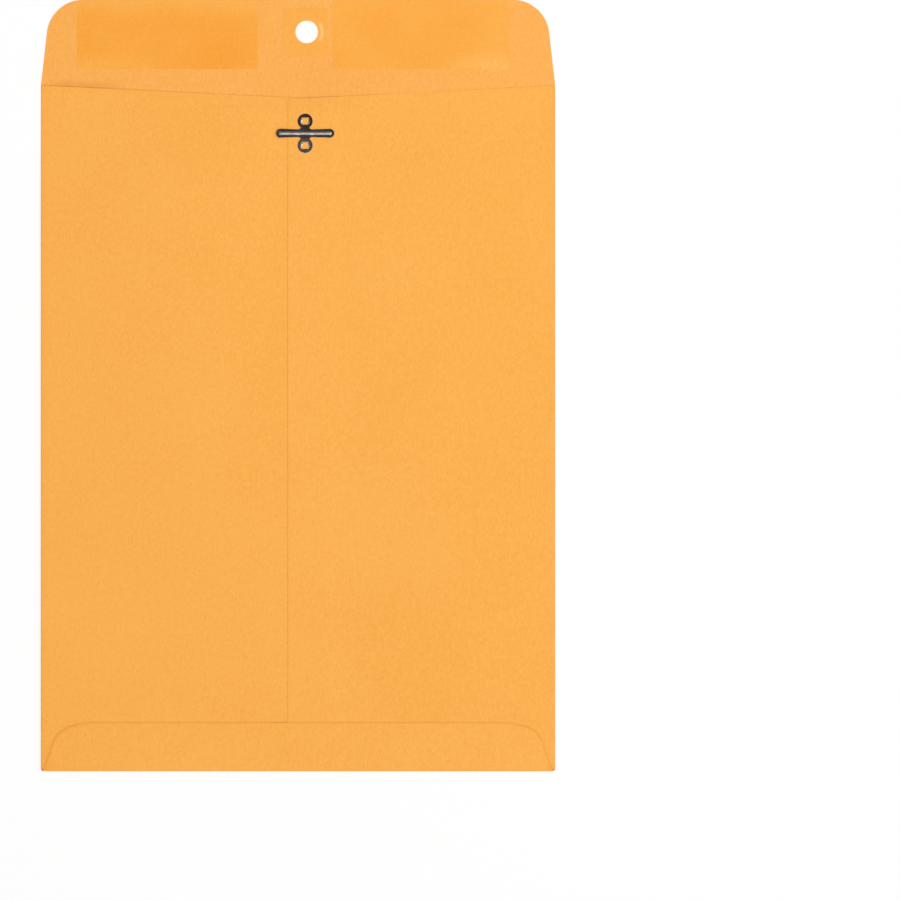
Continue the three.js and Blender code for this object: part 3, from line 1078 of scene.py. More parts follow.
@dataclass
class Blank:
    """The folded sheet of kraft paper: front with seal flap, two back panels and bottom flap.

    Crease rows are stretches about the crease: from, to and how many steps.
    """

    layout: Layout
    form: PaperForm
    flap: SealFlapShape
    finishes: Finishes
    spacing: float = 4.0
    throat_x: float = 3.5
    bottom_corner: float = 0.8
    fold_inset: float = 0.05
    crease_band: float = 0.8
    crease_rows: tuple[tuple[float, float, int], ...] = ((-0.8, 0.8, 12), (-2.4, -0.9, 4), (0.9, 4.2, 7))
    score_depth: float = 0.8
    score_half_width: float = 0.7
    bottom_taper_degrees: float = 19.5
    bottom_corner_radius: float = 12.5
    bottom_step: float = 0.9
    bottom_step_run: float = 9.8
    # Painted shadow beside the left half of the throat, on the flap's inner face.
    throat_shadow_left: float = -113.0
    throat_shadow_right: float = -75.0
    throat_shadow_left_fade: float = 9.0
    throat_shadow_right_fade: float = 12.0
    throat_shadow_reach: float = 3.0
    throat_shadow_strength: float = 0.46
    # A darker tint along the outside of each rolled fold.
    left_fold_tint: float = 0.1
    right_fold_tint: float = 0.4
    bottom_fold_tint: float = 0.9
    fold_tint_core: float = 0.3
    side_fold_tint_fade: float = 0.6
    bottom_fold_tint_fade: float = 0.7
    side_fold_steps: int = 10
    bottom_fold_points: int = 13
    jog_steps: int = 6
    press_steps: int = 10
    edge_reach: float = 1.5
    edge_from: float = 3.0
    edge_sink: float = 0.3
    rows_above_fold: Corner = (0.5, 1.0, 1.5)
    hems_from_fold: float = 1.6
    # Painted shade along the bottom flap's cut edges, which also stands for a paste stain.
    stain_and_shade_reach: float = 0.4
    slant_stain_and_shade_reach: float = 0.25
    stain_and_shade_depth: float = 0.25
    slant_stain_and_shade_depth: float = 0.3

    def front(self) -> Piece:
        """The address side and the seal flap, one sheet that bends at the crease.

        Returns:
            The sheet, flat from the front to the open flap.
        """
        lay, flap = self.layout, self.flap
        low, out = lay.bottom_y + self.fold_inset, lay.half_width - self.fold_inset
        right = [
            (lay.bottom_fold_x, lay.bottom_fold_y, 0),
            (lay.bottom_fold_x, low, 0),
            (out, low, self.bottom_corner),
            (out, lay.panel_bottom_y, 0),
            (lay.side_fold_x, lay.panel_bottom_y, 0),
            (lay.side_fold_x, lay.crease_y, 0),
            (lay.half_width, lay.crease_y, 0),
            (flap.half_width(lay.end_y), lay.end_y, flap.corner_radius),
        ]

        def rule(p: np.ndarray) -> np.ndarray:
            """Flat on the surface, with the flap's curl."""
            return np.column_stack([p, lay.paper / 2 + self.form.sheet_lift(p)])

        def score(p: np.ndarray) -> np.ndarray:
            """The pressed line at the crease."""
            off = np.abs(p[:, 1] - lay.hinge_y) / self.score_half_width
            return self.score_depth * (1 - smooth(off))

        def painted_throat_shadow(p: np.ndarray) -> np.ndarray:
            """Painted shadow: the darker band that the throat's left edge casts on the flap's inner face.

            Args:
                p: Flat places.

            Returns:
                A share from 0 to 1 for each place.
            """
            above = np.clip(p[:, 1] - self.throat_y(p[:, 0], Side.LEFT), 0, None)
            from_left = smooth((p[:, 0] - self.throat_shadow_left) / self.throat_shadow_left_fade)
            along = from_left * smooth((self.throat_shadow_right - p[:, 0]) / self.throat_shadow_right_fade)
            return self.throat_shadow_strength * along * np.exp(-((above / self.throat_shadow_reach) ** 3))

        crease = lay.hinge_y
        bands = [(crease + low, crease + high, count) for low, high, count in self.crease_rows]
        made = Sheet(
            "address_side_and_seal_flap",
            rounded([*right, *mirrored(right)]),
            rule,
            lay.paper,
            steps(-lay.half_width, lay.half_width, self.spacing),
            spaced(lay.bottom_y, lay.end_y, self.spacing, bands),
            holes=[flap.hole()],
            score=score,
            upper_painted_light=painted_throat_shadow,
            ply=0.3,
        ).build(self.finishes.inner, self.finishes.outer, self.finishes.cut_edge)
        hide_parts("front_panel", "seal_flap")
        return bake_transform(made)

    def throat_y(self, x: np.ndarray | float, side: Side) -> np.ndarray | float:
        """The height of a back panel's throat edge.

        Args:
            x: Places across the envelope.
            side: The panel's side.

        Returns:
            The edge's y at each place.
        """
        lay = self.layout
        fold_x = side.value * lay.side_fold_x
        share = (x - fold_x) / (self.throat_x - fold_x)
        return lay.throat_end_y + share * (lay.crease_y - self.form.throat_depth - lay.throat_end_y)

    def back_panel(self, side: Side) -> Piece:
        """A back panel with the rolled fold that joins it to the front.

        Args:
            side: Its side.

        Returns:
            The panel, on the pocket.
        """
        lay, sign, name = self.layout, side.value, side.name.lower()
        radius = (lay.back_z + lay.paper) / 2
        fold_x = lay.side_fold_x
        mid_radius = radius - lay.paper / 2
        fold_end = fold_x + math.pi * mid_radius
        seam_x = lay.seam_right_x if side is Side.LEFT else lay.seam_left_x
        corners = [
            (sign * fold_end, lay.panel_bottom_y, 0.0),
            (sign * fold_end, lay.throat_end_y, 0.0),
            (sign * fold_x, lay.throat_end_y, 0.0),
            (seam_x, self.throat_y(seam_x, side), 0.0),
            (seam_x, lay.panel_bottom_y, 0.0),
        ]
        if side is Side.LEFT:
            corners.reverse()

        def rule(p: np.ndarray) -> np.ndarray:
            """Flat on the back, then round the fold to the front.

            Args:
                p: Flat places.

            Returns:
                The middle of the paper at each place.
            """
            turn = np.clip((sign * p[:, 0] - fold_x) / mid_radius, 0, None)
            rolled = turn > 0
            x = np.where(rolled, sign * (fold_x + mid_radius * np.sin(turn)), p[:, 0])
            rise = self.form.seam_step(p, False) if side is Side.RIGHT else 0.0
            on_back = lay.back_z + lay.paper / 2 + self.form.back_lift(p) + rise
            z = np.where(rolled, radius + mid_radius * np.cos(turn), on_back)
            return np.column_stack([x, p[:, 1], self.form.pressed(p, z)])

        def fold(p: np.ndarray) -> np.ndarray:
            """The darker tint along the outside of the fold.

            Args:
                p: Flat places.

            Returns:
                A share from 0 to 1 for each place.
            """
            bend = fold_x + math.pi / 2 * mid_radius
            side_tint = self.left_fold_tint if side is Side.LEFT else self.right_fold_tint
            off = np.abs(sign * p[:, 0] - bend) - self.fold_tint_core
            return side_tint * (1 - smooth(off / self.side_fold_tint_fade))

        low, high = sorted((sign * fold_x, sign * fold_end))
        dense = [(low, high, self.side_fold_steps), self.form.dent_columns()]
        if side is Side.RIGHT:
            ramp = lay.seam_right_x + self.form.lay
            dense.append((ramp, ramp + self.form.jog_run, self.jog_steps))
        rows = [*self.form.dent_rows(), (self.form.press_y, lay.crease_y, self.press_steps)]
        made = Sheet(
            f"{name}_back_panel_with_fold",
            rounded(corners),
            rule,
            lay.paper,
            spaced(min(seam_x, low), max(seam_x, high), self.spacing, dense),
            spaced(lay.panel_bottom_y, lay.crease_y, self.spacing, rows),
            fold=fold,
            ply=0.1 if side is Side.LEFT else 0.2,
        ).build(self.finishes.outer, self.finishes.inner, self.finishes.cut_edge)
        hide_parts(f"{name}_side_fold", f"{name}_back_panel")
        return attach(made, Body.POCKET.value)

    def bottom(self) -> Piece:
        """The bottom flap with its rolled fold, glued up over both back panels.

        Returns:
            The flap, on the pocket.
        """
        lay = self.layout
        flap_z = lay.back_z + lay.paper + lay.glue
        radius = (flap_z + lay.paper) / 2
        mid_radius = radius - lay.paper / 2
        fold_y = lay.bottom_fold_y
        fold_end = fold_y - math.pi * mid_radius
        shoulder = lay.bottom_flap_y - self.bottom_step
        slant = math.tan(math.radians(self.bottom_taper_degrees))
        corner_x = lay.bottom_fold_x - (shoulder - fold_y) * slant
        step_x = corner_x - self.bottom_step_run
        right = [
            (lay.bottom_fold_x, fold_end, 0),
            (lay.bottom_fold_x, fold_y, 0),
            (corner_x, shoulder, self.bottom_corner_radius),
            (step_x, shoulder, 0),
            (step_x, lay.bottom_flap_y, 0),
        ]
        outline = np.roll(rounded([*right, *mirrored(right)]), 1, axis=0)

        def rule(p: np.ndarray) -> np.ndarray:
            """Flat over the back panels, then round the fold to the front.

            Args:
                p: Flat places.

            Returns:
                The middle of the paper at each place.
            """
            above = p[:, 1] - fold_y
            turn = np.clip(-above / mid_radius, 0, None)
            rolled = turn > 0
            y = np.where(rolled, fold_y - mid_radius * np.sin(turn), p[:, 1])
            raised = self.form.seam_step(p, True) * smooth(above / self.edge_reach)
            near = np.minimum(distance_to(p, outline) / self.edge_reach, 1)
            edge = near * np.clip(above / self.edge_from, 0, 1)
            clear = smooth((above - self.edge_from) / self.edge_from)
            raised = raised - self.edge_sink * lay.glue * (1 - smooth(edge)) * clear
            z = np.where(rolled, radius + mid_radius * np.cos(turn), flap_z + lay.paper / 2 + raised)
            return np.column_stack([p[:, 0], y, z])

        def fold(p: np.ndarray) -> np.ndarray:
            """The darker tint along the outside of the fold, and the darker margin along the cut edges: a
            paste stain, and painted shade of the edges.

            Args:
                p: Flat places.

            Returns:
                A share from 0 to 1 for each place.
            """
            bend = fold_y - math.pi / 2 * mid_radius
            off = np.abs(p[:, 1] - bend) - self.fold_tint_core
            fold_tinted = self.bottom_fold_tint * (1 - smooth(off / self.bottom_fold_tint_fade))
            slanted = smooth((np.abs(p[:, 0]) - step_x + 1) / 3)
            reach = self.stain_and_shade_reach + self.slant_stain_and_shade_reach * slanted
            depth = self.stain_and_shade_depth + self.slant_stain_and_shade_depth * slanted
            # The margin is painted shade of the flap's edges as well as a paste stain, stronger along the
            # slanted sides.
            stain_and_painted_shade = depth * np.exp(-((distance_to(p, outline) / reach) ** 2))
            return np.maximum(fold_tinted, stain_and_painted_shade * (p[:, 1] > fold_y))

        left_ramp, right_ramp = lay.seam_left_x - self.form.lay, lay.seam_right_x + self.form.lay
        run = self.form.jog_run
        ramps = [(start, start + run, self.jog_steps) for start in (left_ramp - run, right_ramp)]
        roll = np.linspace(fold_end, fold_y, self.bottom_fold_points)
        above_roll = fold_y + np.array(self.rows_above_fold)
        made = Sheet(
            "bottom_flap_with_fold",
            outline,
            rule,
            lay.paper,
            spaced(-lay.bottom_fold_x, lay.bottom_fold_x, self.spacing, ramps),
            np.unique(np.concatenate([roll, above_roll, steps(fold_y + 3, lay.bottom_flap_y, 3.0)])),
            fold=fold,
            ply=0.4,
            hems=(0.2, 0.45, 0.8, 1.4),
            hems_above=fold_y + self.hems_from_fold,
        ).build(self.finishes.outer, self.finishes.inner, self.finishes.cut_edge)
        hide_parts("bottom_fold", "bottom_flap")
        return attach(made, Body.POCKET.value)


@dataclass
class FlapTrim:
    """What is stuck to the seal flap's inner face: two strips of gum and the patch at the hole.

    A strip's dryness is given in four parts: everywhere, at its top, its outer end and its lower edge.
    """

    form: PaperForm
    flap: SealFlapShape
    finishes: Finishes
    left_dryness: tuple[float, ...] = (0.0, 0.6, 0.1, 0.45)
    right_dryness: tuple[float, ...] = (0.25, 0.1, 0.3, 0.4)
    inner_x: float = 18.0
    outward_run: float = 76.0
    top_share: float = 0.35
    end_from: float = 0.7
    end_fade: float = 0.25
    foot_from: float = 0.72
    foot_fade: float = 0.22
    crazed_from: float = 0.4
    crazed_fade: float = 0.35
    gum_margin: float = 0.3
    gum_spacing: float = 1.5
    patch_spacing: float = 0.375
    patch_corner: float = 0.4
    patch_chord: float = 0.2
    # Painted highlight of the embossed crescent beside the hole.
    crescent_highlight_radius: float = 6.8
    crescent_highlight_width: float = 0.6
    crescent_highlight_depth: float = 0.75
    crescent_highlight_half_angle: float = 0.75
    crescent_highlight_fade: float = 0.3

    def laid(self, low: np.ndarray, high: np.ndarray) -> Rule:
        """A rule that lays a film on the curled flap, between two heights of the frame.

        Args:
            low: The lowest corner of the film's node.
            high: Its highest corner.

        Returns:
            The rule.
        """

        def rule(p: np.ndarray) -> np.ndarray:
            """The middle of the film."""
            return np.column_stack([p, (low[2] + high[2]) / 2 + self.form.sheet_lift(p)])

        return rule

    def gum(self, node: str, side: Side) -> Piece:
        """One strip of gum, cut to the flap's rounded outline at its outer end.

        Args:
            node: The node that it replaces.
            side: Its side.

        Returns:
            The strip, on the flap.
        """
        low, high = box_mm(node)
        top = high[1]
        flap = self.flap
        edge = flap.half_width(top) - self.gum_margin
        radius = flap.corner_radius - self.gum_margin
        clip = rounded([(-edge, low[1], 0), (edge, low[1], 0), (edge, top, radius), (-edge, top, radius)])
        columns = steps(low[0], high[0], self.gum_spacing)
        roof = np.column_stack([columns, np.interp(columns, *self.roof(clip, top))])
        outline = np.vstack([(low[0], low[1]), (high[0], low[1]), roof[::-1]])

        def dry(p: np.ndarray) -> np.ndarray:
            """Where the gum has dried paler: at the top, the outer end and crazed at its lower edge.

            Args:
                p: Flat places.

            Returns:
                A share from 0 to 1 for each place.
            """
            outward = (np.abs(p[:, 0]) - self.inner_x) / self.outward_run
            downward = (top - p[:, 1]) / (top - low[1])
            base, crown, end, foot = self.right_dryness if side is Side.RIGHT else self.left_dryness
            topmost = crown * smooth((self.top_share - downward) / self.top_share)
            paler = np.maximum(topmost, end * smooth((outward - self.end_from) / self.end_fade))
            lower = smooth((downward - self.foot_from) / self.foot_fade)
            crazed = foot * lower * smooth((outward - self.crazed_from) / self.crazed_fade)
            return np.minimum(base + paler + crazed, 1)

        made = Sheet(
            node.replace("strip", "film"),
            outline,
            self.laid(low, high),
            high[2] - low[2],
            columns,
            steps(low[1], top, self.gum_spacing),
            dry=dry,
            ply=0.5,
        ).build(self.finishes.gum, self.finishes.gum, self.finishes.gum)
        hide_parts(node)
        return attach(made, Body.FLAP.value)

    def roof(self, clip: Loop, top: float) -> tuple[np.ndarray, np.ndarray]:
        """The upper edge of an outline as x and y, for interpolation.

        Args:
            clip: The outline.
            top: Its highest place.

        Returns:
            The x values in rising order and their y values.
        """
        upper = clip[clip[:, 1] > top - self.flap.corner_radius]
        order = np.argsort(upper[:, 0])
        return upper[order, 0], upper[order, 1]

    def patch(self) -> Piece:
        """The paper patch round the hole.

        Returns:
            The patch, on the flap.
        """
        low, high = box_mm("hole_reinforcement_patch")

        def upper_painted_light(p: np.ndarray) -> np.ndarray:
            """Painted highlight: a pale crescent beside the hole, where an embossed ridge catches the
            light.

            Args:
                p: Flat places.

            Returns:
                A share from 0 to 1 for each place.
            """
            offset = p - self.flap.hole_middle()
            ring = np.exp(-(((np.hypot(*offset.T) - self.crescent_highlight_radius) / self.crescent_highlight_width) ** 2))
            off = self.crescent_highlight_half_angle - np.abs(np.arctan2(offset[:, 1], offset[:, 0]))
            return self.crescent_highlight_depth * ring * smooth(off / self.crescent_highlight_fade)

        made = Sheet(
            "hole_patch",
            rectangle(low, high, self.patch_corner, self.patch_chord),
            self.laid(low, high),
            high[2] - low[2],
            steps(low[0], high[0], self.patch_spacing),
            steps(low[1], high[1], self.patch_spacing),
            holes=[self.flap.hole()],
            upper_painted_light=upper_painted_light,
            ply=0.6,
        ).build(self.finishes.patch, self.finishes.inner, self.finishes.cut_edge)
        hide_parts("hole_reinforcement_patch")
        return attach(made, Body.FLAP.value)


# Clasp


@dataclass
class Clasp:
    """The stamped tinplate clasp: a base with two rings, and two prongs that bend up."""

    layout: Layout
    finishes: Finishes
    tin: float = 0.3
    bar_length: float = 25.95
    bar_waist: float = 3.48
    bar_end_width: float = 3.98
    bend_x: float = 3.0
    bend_band: float = 0.9
    joint_steps: int = 25
    neck_width: float = 3.93
    neck_fillet: float = 1.0
    ring_diameter: float = 6.74
    ring_spacing: float = 10.82
    hole_width: float = 3.7
    hole_length: float = 3.04
    hole_corner: float = 0.25
    hole_chord: float = 0.35
    hole_corner_chord: float = 0.05
    fillet_chords: int = 10
    foot_chords: int = 4
    ring_chords: int = 64
    end_chords: int = 40
    flank_points: int = 40
    rib_length: float = 23.3
    rib_width: float = 1.46
    rib_height: float = 0.5
    rib_crown: float = 1.5
    rib_shrink: float = 0.22
    rib_dip: float = 0.22
    rib_dip_reach: float = 0.9
    edge_round: float = 0.06
    edge_levels: int = 4
    base_soft_run: int = 5
    prong_soft_run: int = 6
    sharp_degrees: float = 35.0
    fillet_cut: float = 0.12
    tab_bend: float = 0.16
    tab_reach: float = 0.86
    tab_knee: float = 0.03
    tab_clinch: float = 0.85
    tab_sink: float = 0.08
    tab_clearance: float = 0.1
    slip_x: float = 0.06
    slip_y: float = -0.1
    ring_droop: float = 0.035
    droop_from: float = 2.2
    grid: float = 0.16
    row_clear: float = 0.4
    grid_clear: float = 0.45

    def rib(self, p: np.ndarray, shrink: float) -> np.ndarray:
        """The pressed rib's height.

        Args:
            p: Places about the clasp's centre.
            shrink: How much narrower the rib is on each side, as it is underneath.

        Returns:
            A height for each place.
        """
        half = self.rib_width / 2 - shrink
        straight = self.rib_length / 2 - self.rib_width / 2
        off = np.hypot(np.maximum(np.abs(p[:, 0]) - straight, 0), p[:, 1]) / half
        near_bend = np.exp(-(((np.abs(p[:, 0]) - self.bend_x) / self.rib_dip_reach) ** 2))
        return self.rib_height * np.clip(1 - off**self.rib_crown, 0, 1) * (1 - self.rib_dip * near_bend)

    def edge_rings(self, loops: list[Loop], rounds: list[np.ndarray]) -> list[np.ndarray]:
        """The points of the loops, drawn in step by step as their edges are rounded.

        Args:
            loops: The plate's loops.
            rounds: For each point of each loop, how far its edge is rounded.

        Returns:
            For each level, from the rim to the flat face, the points of all the loops.
        """
        rings: list[list[np.ndarray]] = [[] for _ in range(self.edge_levels + 1)]
        for loop, amount in zip(loops, rounds):
            back = loop - np.roll(loop, 1, axis=0)
            ahead = np.roll(loop, -1, axis=0) - loop
            back /= np.linalg.norm(back, axis=1)[:, None]
            ahead /= np.linalg.norm(ahead, axis=1)[:, None]
            inward = np.column_stack([-(back + ahead)[:, 1], (back + ahead)[:, 0]])
            inward /= np.maximum(np.linalg.norm(inward, axis=1), 1e-6)[:, None]
            for level, ring in enumerate(rings):
                share = 1 - math.cos(math.pi / 2 * level / self.edge_levels)
                ring.append(loop + inward * (amount * share)[:, None])
        return [np.vstack(ring) for ring in rings]

    def stamp(
        self, name: str, loops: list[Loop], rounds: list[np.ndarray], droop: Rule | None = None
    ) -> Piece:
        """Makes a stamped plate with rounded edges and the pressed rib.

        Args:
            name: The piece's name.
            loops: Its outline anticlockwise, then its holes clockwise, about the clasp's centre.
            rounds: For each point of each loop, how far its edge is rounded.
            droop: A rule for how far the whole plate is bent down.

        Returns:
            The object, in its place on the envelope.
        """
        levels = self.edge_levels
        rings = self.edge_rings(loops, rounds)
        ends = np.cumsum([len(loop) for loop in loops])
        low, high = rings[0].min(axis=0), rings[0].max(axis=0)
        columns, rows = steps(low[0], high[0], self.grid), steps(low[1], high[1], self.grid)
        lines = np.array([-0.5, 0.0, 0.5]) * self.rib_width
        off = np.abs(rows[:, None] - lines).min(axis=1)
        rows = np.sort(np.append(rows[off > self.grid * self.row_clear], lines))
        margin = self.grid * self.grid_clear
        cap, triangles, where = fill(np.split(rings[levels], ends[:-1]), columns, rows, margin)

        def heights(p: np.ndarray, top: bool, drop: np.ndarray | float) -> np.ndarray:
            """Places in three dimensions on one side of the plate.

            Args:
                p: Places about the clasp's centre.
                top: Whether it is the upper side.
                drop: How far the side is drawn in by its rounded edge.

            Returns:
                The places.
            """
            bent = 0.0 if droop is None else droop(p)
            z = self.tin + self.rib(p, 0.0) - drop if top else self.rib(p, self.rib_shrink) + drop
            return np.column_stack([p + self.middle(), z + bent + self.layout.clasp_z])

        points = [heights(cap, True, 0.0), heights(cap, False, 0.0)]
        ladders = [where]
        first = 2 * len(cap)
        for top in (True, False):
            for level in range(levels - 1, -1, -1) if top else range(levels):
                drop = np.concatenate(rounds) * (1 - math.sin(math.pi / 2 * level / levels))
                points.append(heights(rings[level], top, drop))
                ladders.append(np.arange(first, first + len(where)))
                first += len(where)
        ladders.append(where + len(cap))
        faces: list = [*triangles.tolist(), *(triangles[:, ::-1] + len(cap)).tolist()]
        for here in np.split(np.arange(ends[-1]), ends[:-1]):
            ahead = np.roll(here, -1)
            for upper, lower in zip(ladders, ladders[1:]):
                faces += np.column_stack([lower[here], lower[ahead], upper[ahead], upper[here]]).tolist()
        made = mesh_object(name, np.vstack(points), faces, self.sharp_degrees)
        editable = bmesh.new()
        editable.from_mesh(made.data)
        bmesh.ops.remove_doubles(editable, verts=editable.verts, dist=1e-7)
        bmesh.ops.dissolve_degenerate(editable, edges=editable.edges, dist=1e-8)
        editable.to_mesh(made.data)
        editable.free()
        made.data.set_sharp_from_angle(angle=math.radians(self.sharp_degrees))
        made.data.materials.append(self.finishes.tinplate)
        return made

    def middle(self) -> np.ndarray:
        """The clasp's centre, a little off its place as it is clinched by hand."""
        return np.array([self.layout.clasp_x + self.slip_x, self.layout.clasp_y + self.slip_y])

    def fillet_skip(self) -> float:
        """The angle in degrees of the fillet's start that belongs to the prong."""
        return math.degrees(math.acos(1 - self.fillet_cut / self.neck_fillet))

    def fillet(self, sign_x: int, sign_y: int) -> Loop:
        """The concave corner between the bar and a neck, from the bar towards the neck.

        Args:
            sign_x: The sign of its X.
            sign_y: The sign of its Y.

        Returns:
            Its points.
        """
        points = arc((0, 0), self.neck_fillet, -90 - self.fillet_skip(), -180, self.fillet_chords)
        middle = (self.neck_width / 2 + self.neck_fillet, self.bar_waist / 2 + self.neck_fillet)
        return (points + middle) * (sign_x, sign_y)

    def softness(self, count: int, run: int) -> np.ndarray:
        """How far each point of an edge is rounded, less and less towards both its ends."""
        return self.edge_round * smooth(np.minimum(np.arange(count), np.arange(count)[::-1]) / run)

    def joint(self, x: float, start: float) -> Loop:
        """The straight edge at x where the base and a prong meet, from start across to its opposite."""
        return np.column_stack([np.full(self.joint_steps, x), np.linspace(start, -start, self.joint_steps)])

    def base(self) -> Piece:
        """The hub, the necks and the two rings with their holes.

        Returns:
            The base, on the pocket.
        """
        join = self.bend_x - self.bend_band
        half = self.bar_waist / 2
        ring_y, radius = self.ring_spacing / 2, self.ring_diameter / 2
        meet = math.degrees(math.acos(self.neck_width / 2 / radius))
        upper_right = self.fillet(1, 1)
        edge_x = upper_right[0, 0]
        ring = arc((0, ring_y), radius, -meet, 180 + meet, self.ring_chords)
        upper = np.vstack([upper_right, ring, self.fillet(-1, 1)[::-1]])
        left = np.vstack([(-edge_x, half), self.joint(-join, half), (-edge_x, -half)])
        loops = [np.vstack([upper, left, -upper, -left])]
        soft = self.softness(len(upper), self.base_soft_run)
        rounds = [np.tile(np.concatenate([soft, np.zeros(len(left))]), 2)]
        x, y = self.hole_width / 2, self.hole_length / 2
        hole = rectangle((-x, -y), (x, y), self.hole_corner, self.hole_corner_chord)
        hole = split_at(hole, steps(-x, x, self.hole_chord), steps(-y, y, self.hole_chord))
        for sign in (1, -1):
            loops.append(hole[::-1] + (0, sign * ring_y))
            rounds.append(np.full(len(hole), self.edge_round))

        def droop(p: np.ndarray) -> np.ndarray:
            """The rings lean down outwards, pulled by their clinched tabs."""
            return -self.ring_droop * np.maximum(np.abs(p[:, 1]) - self.droop_from, 0)

        made = self.stamp("clasp_base_plate", loops, rounds, droop)
        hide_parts("clasp_base")
        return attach(made, Body.POCKET.value)

    def prong(self, side: Side) -> Piece:
        """One prong, with the short stretch of the hub in which it bends.

        Args:
            side: Its side.

        Returns:
            The prong, in its place on the envelope.
        """
        join = self.bend_x - self.bend_band
        half = self.bar_waist / 2
        tip = self.bar_end_width / 2
        tip_x = self.bar_length / 2 - tip
        middle = (self.neck_width / 2 + self.neck_fillet, half + self.neck_fillet)
        foot = arc(middle, self.neck_fillet, -90 - self.fillet_skip(), -90, self.foot_chords)
        lean = math.degrees(math.asin((tip - half) / (tip_x - self.bend_x)))
        end = arc((tip_x, 0), tip, 90 + lean, -90 - lean, self.end_chords)
        upper = np.vstack([foot, np.linspace(foot[-1], end[0], self.flank_points)[1:-1]])
        around = np.vstack([upper, end, (upper * (1, -1))[::-1]])
        hard = np.vstack([(foot[0, 0], -half), self.joint(join, -half), (foot[0, 0], half)])
        outline = np.vstack([around, hard])[::-1]
        soft = self.softness(len(around), self.prong_soft_run)
        amounts = np.concatenate([soft, np.zeros(len(hard))])[::-1]
        name = side.name.lower()
        made = self.stamp(f"clasp_{name}_wing", [outline * side.value], [amounts])
        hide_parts(f"clasp_prong_{name}")
        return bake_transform(made)

    def tab_tree(self) -> bpy.types.NodeTree:
        """A tree that sweeps a tab along its path and sets one at each side of each ring's hole.

        Returns:
            The tree.
        """
        lengths = dict.fromkeys(("Tab Length", "Tin", "Bend", "Ring Spacing", "Droop"), "Float")
        graph, given = new_tree("clinched_tabs", {**lengths, "Middle": "Vector", "Material": "Material"})
        path = graph.add("GeometryNodeMeshToCurve", {"Mesh": given["Geometry"]})
        bends = {"Curve": path, "Count": 8, "Radius": given["Bend"], "Limit Radius": True}
        bent = graph.add("GeometryNodeFilletCurve", bends, mode="POLY")
        sides = {"Width": given["Tab Length"], "Height": given["Tin"]}
        section = graph.add("GeometryNodeCurvePrimitiveQuadrilateral", sides)
        sweep = {"Curve": bent, "Profile Curve": section, "Fill Caps": True}
        swept = graph.add("GeometryNodeCurveToMesh", sweep)
        origin = (0, 0, 0)
        line = graph.add("GeometryNodeMeshLine", {"Count": 4, "Start Location": origin, "Offset": origin})
        index = graph.add("GeometryNodeInputIndex")
        which_side = graph.maths("MODULO", index, 2.0)
        which_ring = graph.maths("FLOOR", graph.maths("DIVIDE", index, 2.0))
        offset = graph.maths("SUBTRACT", which_ring, 0.5)
        along = graph.maths("MULTIPLY", offset, given["Ring Spacing"])
        from_middle = graph.add("ShaderNodeCombineXYZ", {"Y": along})
        place = graph.add("ShaderNodeVectorMath", {0: from_middle, 1: given["Middle"]}, operation="ADD")
        spots = graph.add("GeometryNodeSetPosition", {"Geometry": line, "Position": place})
        half_turn = graph.maths("MULTIPLY", which_side, math.pi)
        side_sign = graph.maths("MULTIPLY_ADD", which_side, 4.0, -2.0)
        outward = graph.maths("MULTIPLY", offset, side_sign)
        lean = graph.maths("MULTIPLY", outward, given["Droop"])
        facing = graph.add("ShaderNodeCombineXYZ", {"X": lean, "Z": half_turn})
        copies = {"Points": spots, "Instance": swept, "Rotation": facing}
        return graph.deliver(graph.add("GeometryNodeInstanceOnPoints", copies), given["Material"])

    def tabs(self) -> Piece:
        """The four tabs that pass down through the paper and are clinched beneath it.

        Returns:
            The tabs, as one piece on the pocket.
        """
        lay = self.layout
        wall = self.hole_width / 2
        half = self.tin / 2
        sunk = self.ring_droop * (self.ring_spacing / 2 - self.droop_from) + self.tab_sink
        bottom = lay.back_z - lay.clasp_z - half
        lean = math.atan2(self.tin + self.tab_knee, self.tab_reach)
        shoulder = wall + half * math.tan(lean / 2)
        knee = wall - self.tab_reach + half
        path = np.array([
            (wall + self.tab_clearance, 0, half),
            (shoulder, 0, half),
            (knee, 0, half - (shoulder - knee) * math.tan(lean)),
            (knee, 0, bottom),
            (wall + self.tab_clinch, 0, bottom),
        ])
        mesh = bpy.data.meshes.new("clinched_tabs")
        mesh.from_pydata((path * MM).tolist(), [(0, 1), (1, 2), (2, 3), (3, 4)], [])
        made = linked("clinched_tabs", mesh)
        values = {
            "Tab Length": (self.hole_length - self.tab_clearance) * MM,
            "Tin": self.tin * MM,
            "Bend": self.tab_bend * MM,
            "Ring Spacing": self.ring_spacing * MM,
            "Droop": self.ring_droop,
            "Middle": Vector((*self.middle(), lay.clasp_z - sunk)) * MM,
            "Material": self.finishes.tinplate,
        }
        bake_nodes(made, self.tab_tree(), values)
        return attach(made, Body.POCKET.value)


# Paste and stray fibres


@dataclass
class Films:
    """The dried paste in the seam and under the bottom flap, which shows at the throat and edges."""

    frame: dict
    layout: Layout
    form: PaperForm
    finishes: Finishes
    spacing: float = 4.0
    press_steps: int = 8

    def bottom(self) -> None:
        """Gives the film under the bottom flap its finish: that film lies flat, as in the frame."""
        mesh = self.frame["nodes"]["bottom_flap_adhesive"].data
        mesh.materials.clear()
        mesh.materials.append(self.finishes.paste)

    def seam(self) -> Piece:
        """The film in the seam, which comes down with both panels at the throat.

        Returns:
            The film, on the pocket.
        """
        low, high = box_mm("seam_adhesive")
        thickness = self.layout.glue
        pressed = (self.form.press_y, high[1], self.press_steps)

        def rule(p: np.ndarray) -> np.ndarray:
            """Between the two panels."""
            z = np.full(len(p), low[2] + thickness / 2)
            return np.column_stack([p, self.form.pressed(p, z)])

        made = Sheet(
            "seam_paste",
            rectangle(low, high),
            rule,
            thickness,
            spaced(low[0], high[0], self.spacing, [self.form.dent_columns()]),
            spaced(low[1], high[1], self.spacing, [*self.form.dent_rows(), pressed]),
        ).build(self.finishes.paste, self.finishes.paste, self.finishes.paste)
        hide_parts("seam_adhesive")
        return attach(made, Body.POCKET.value)


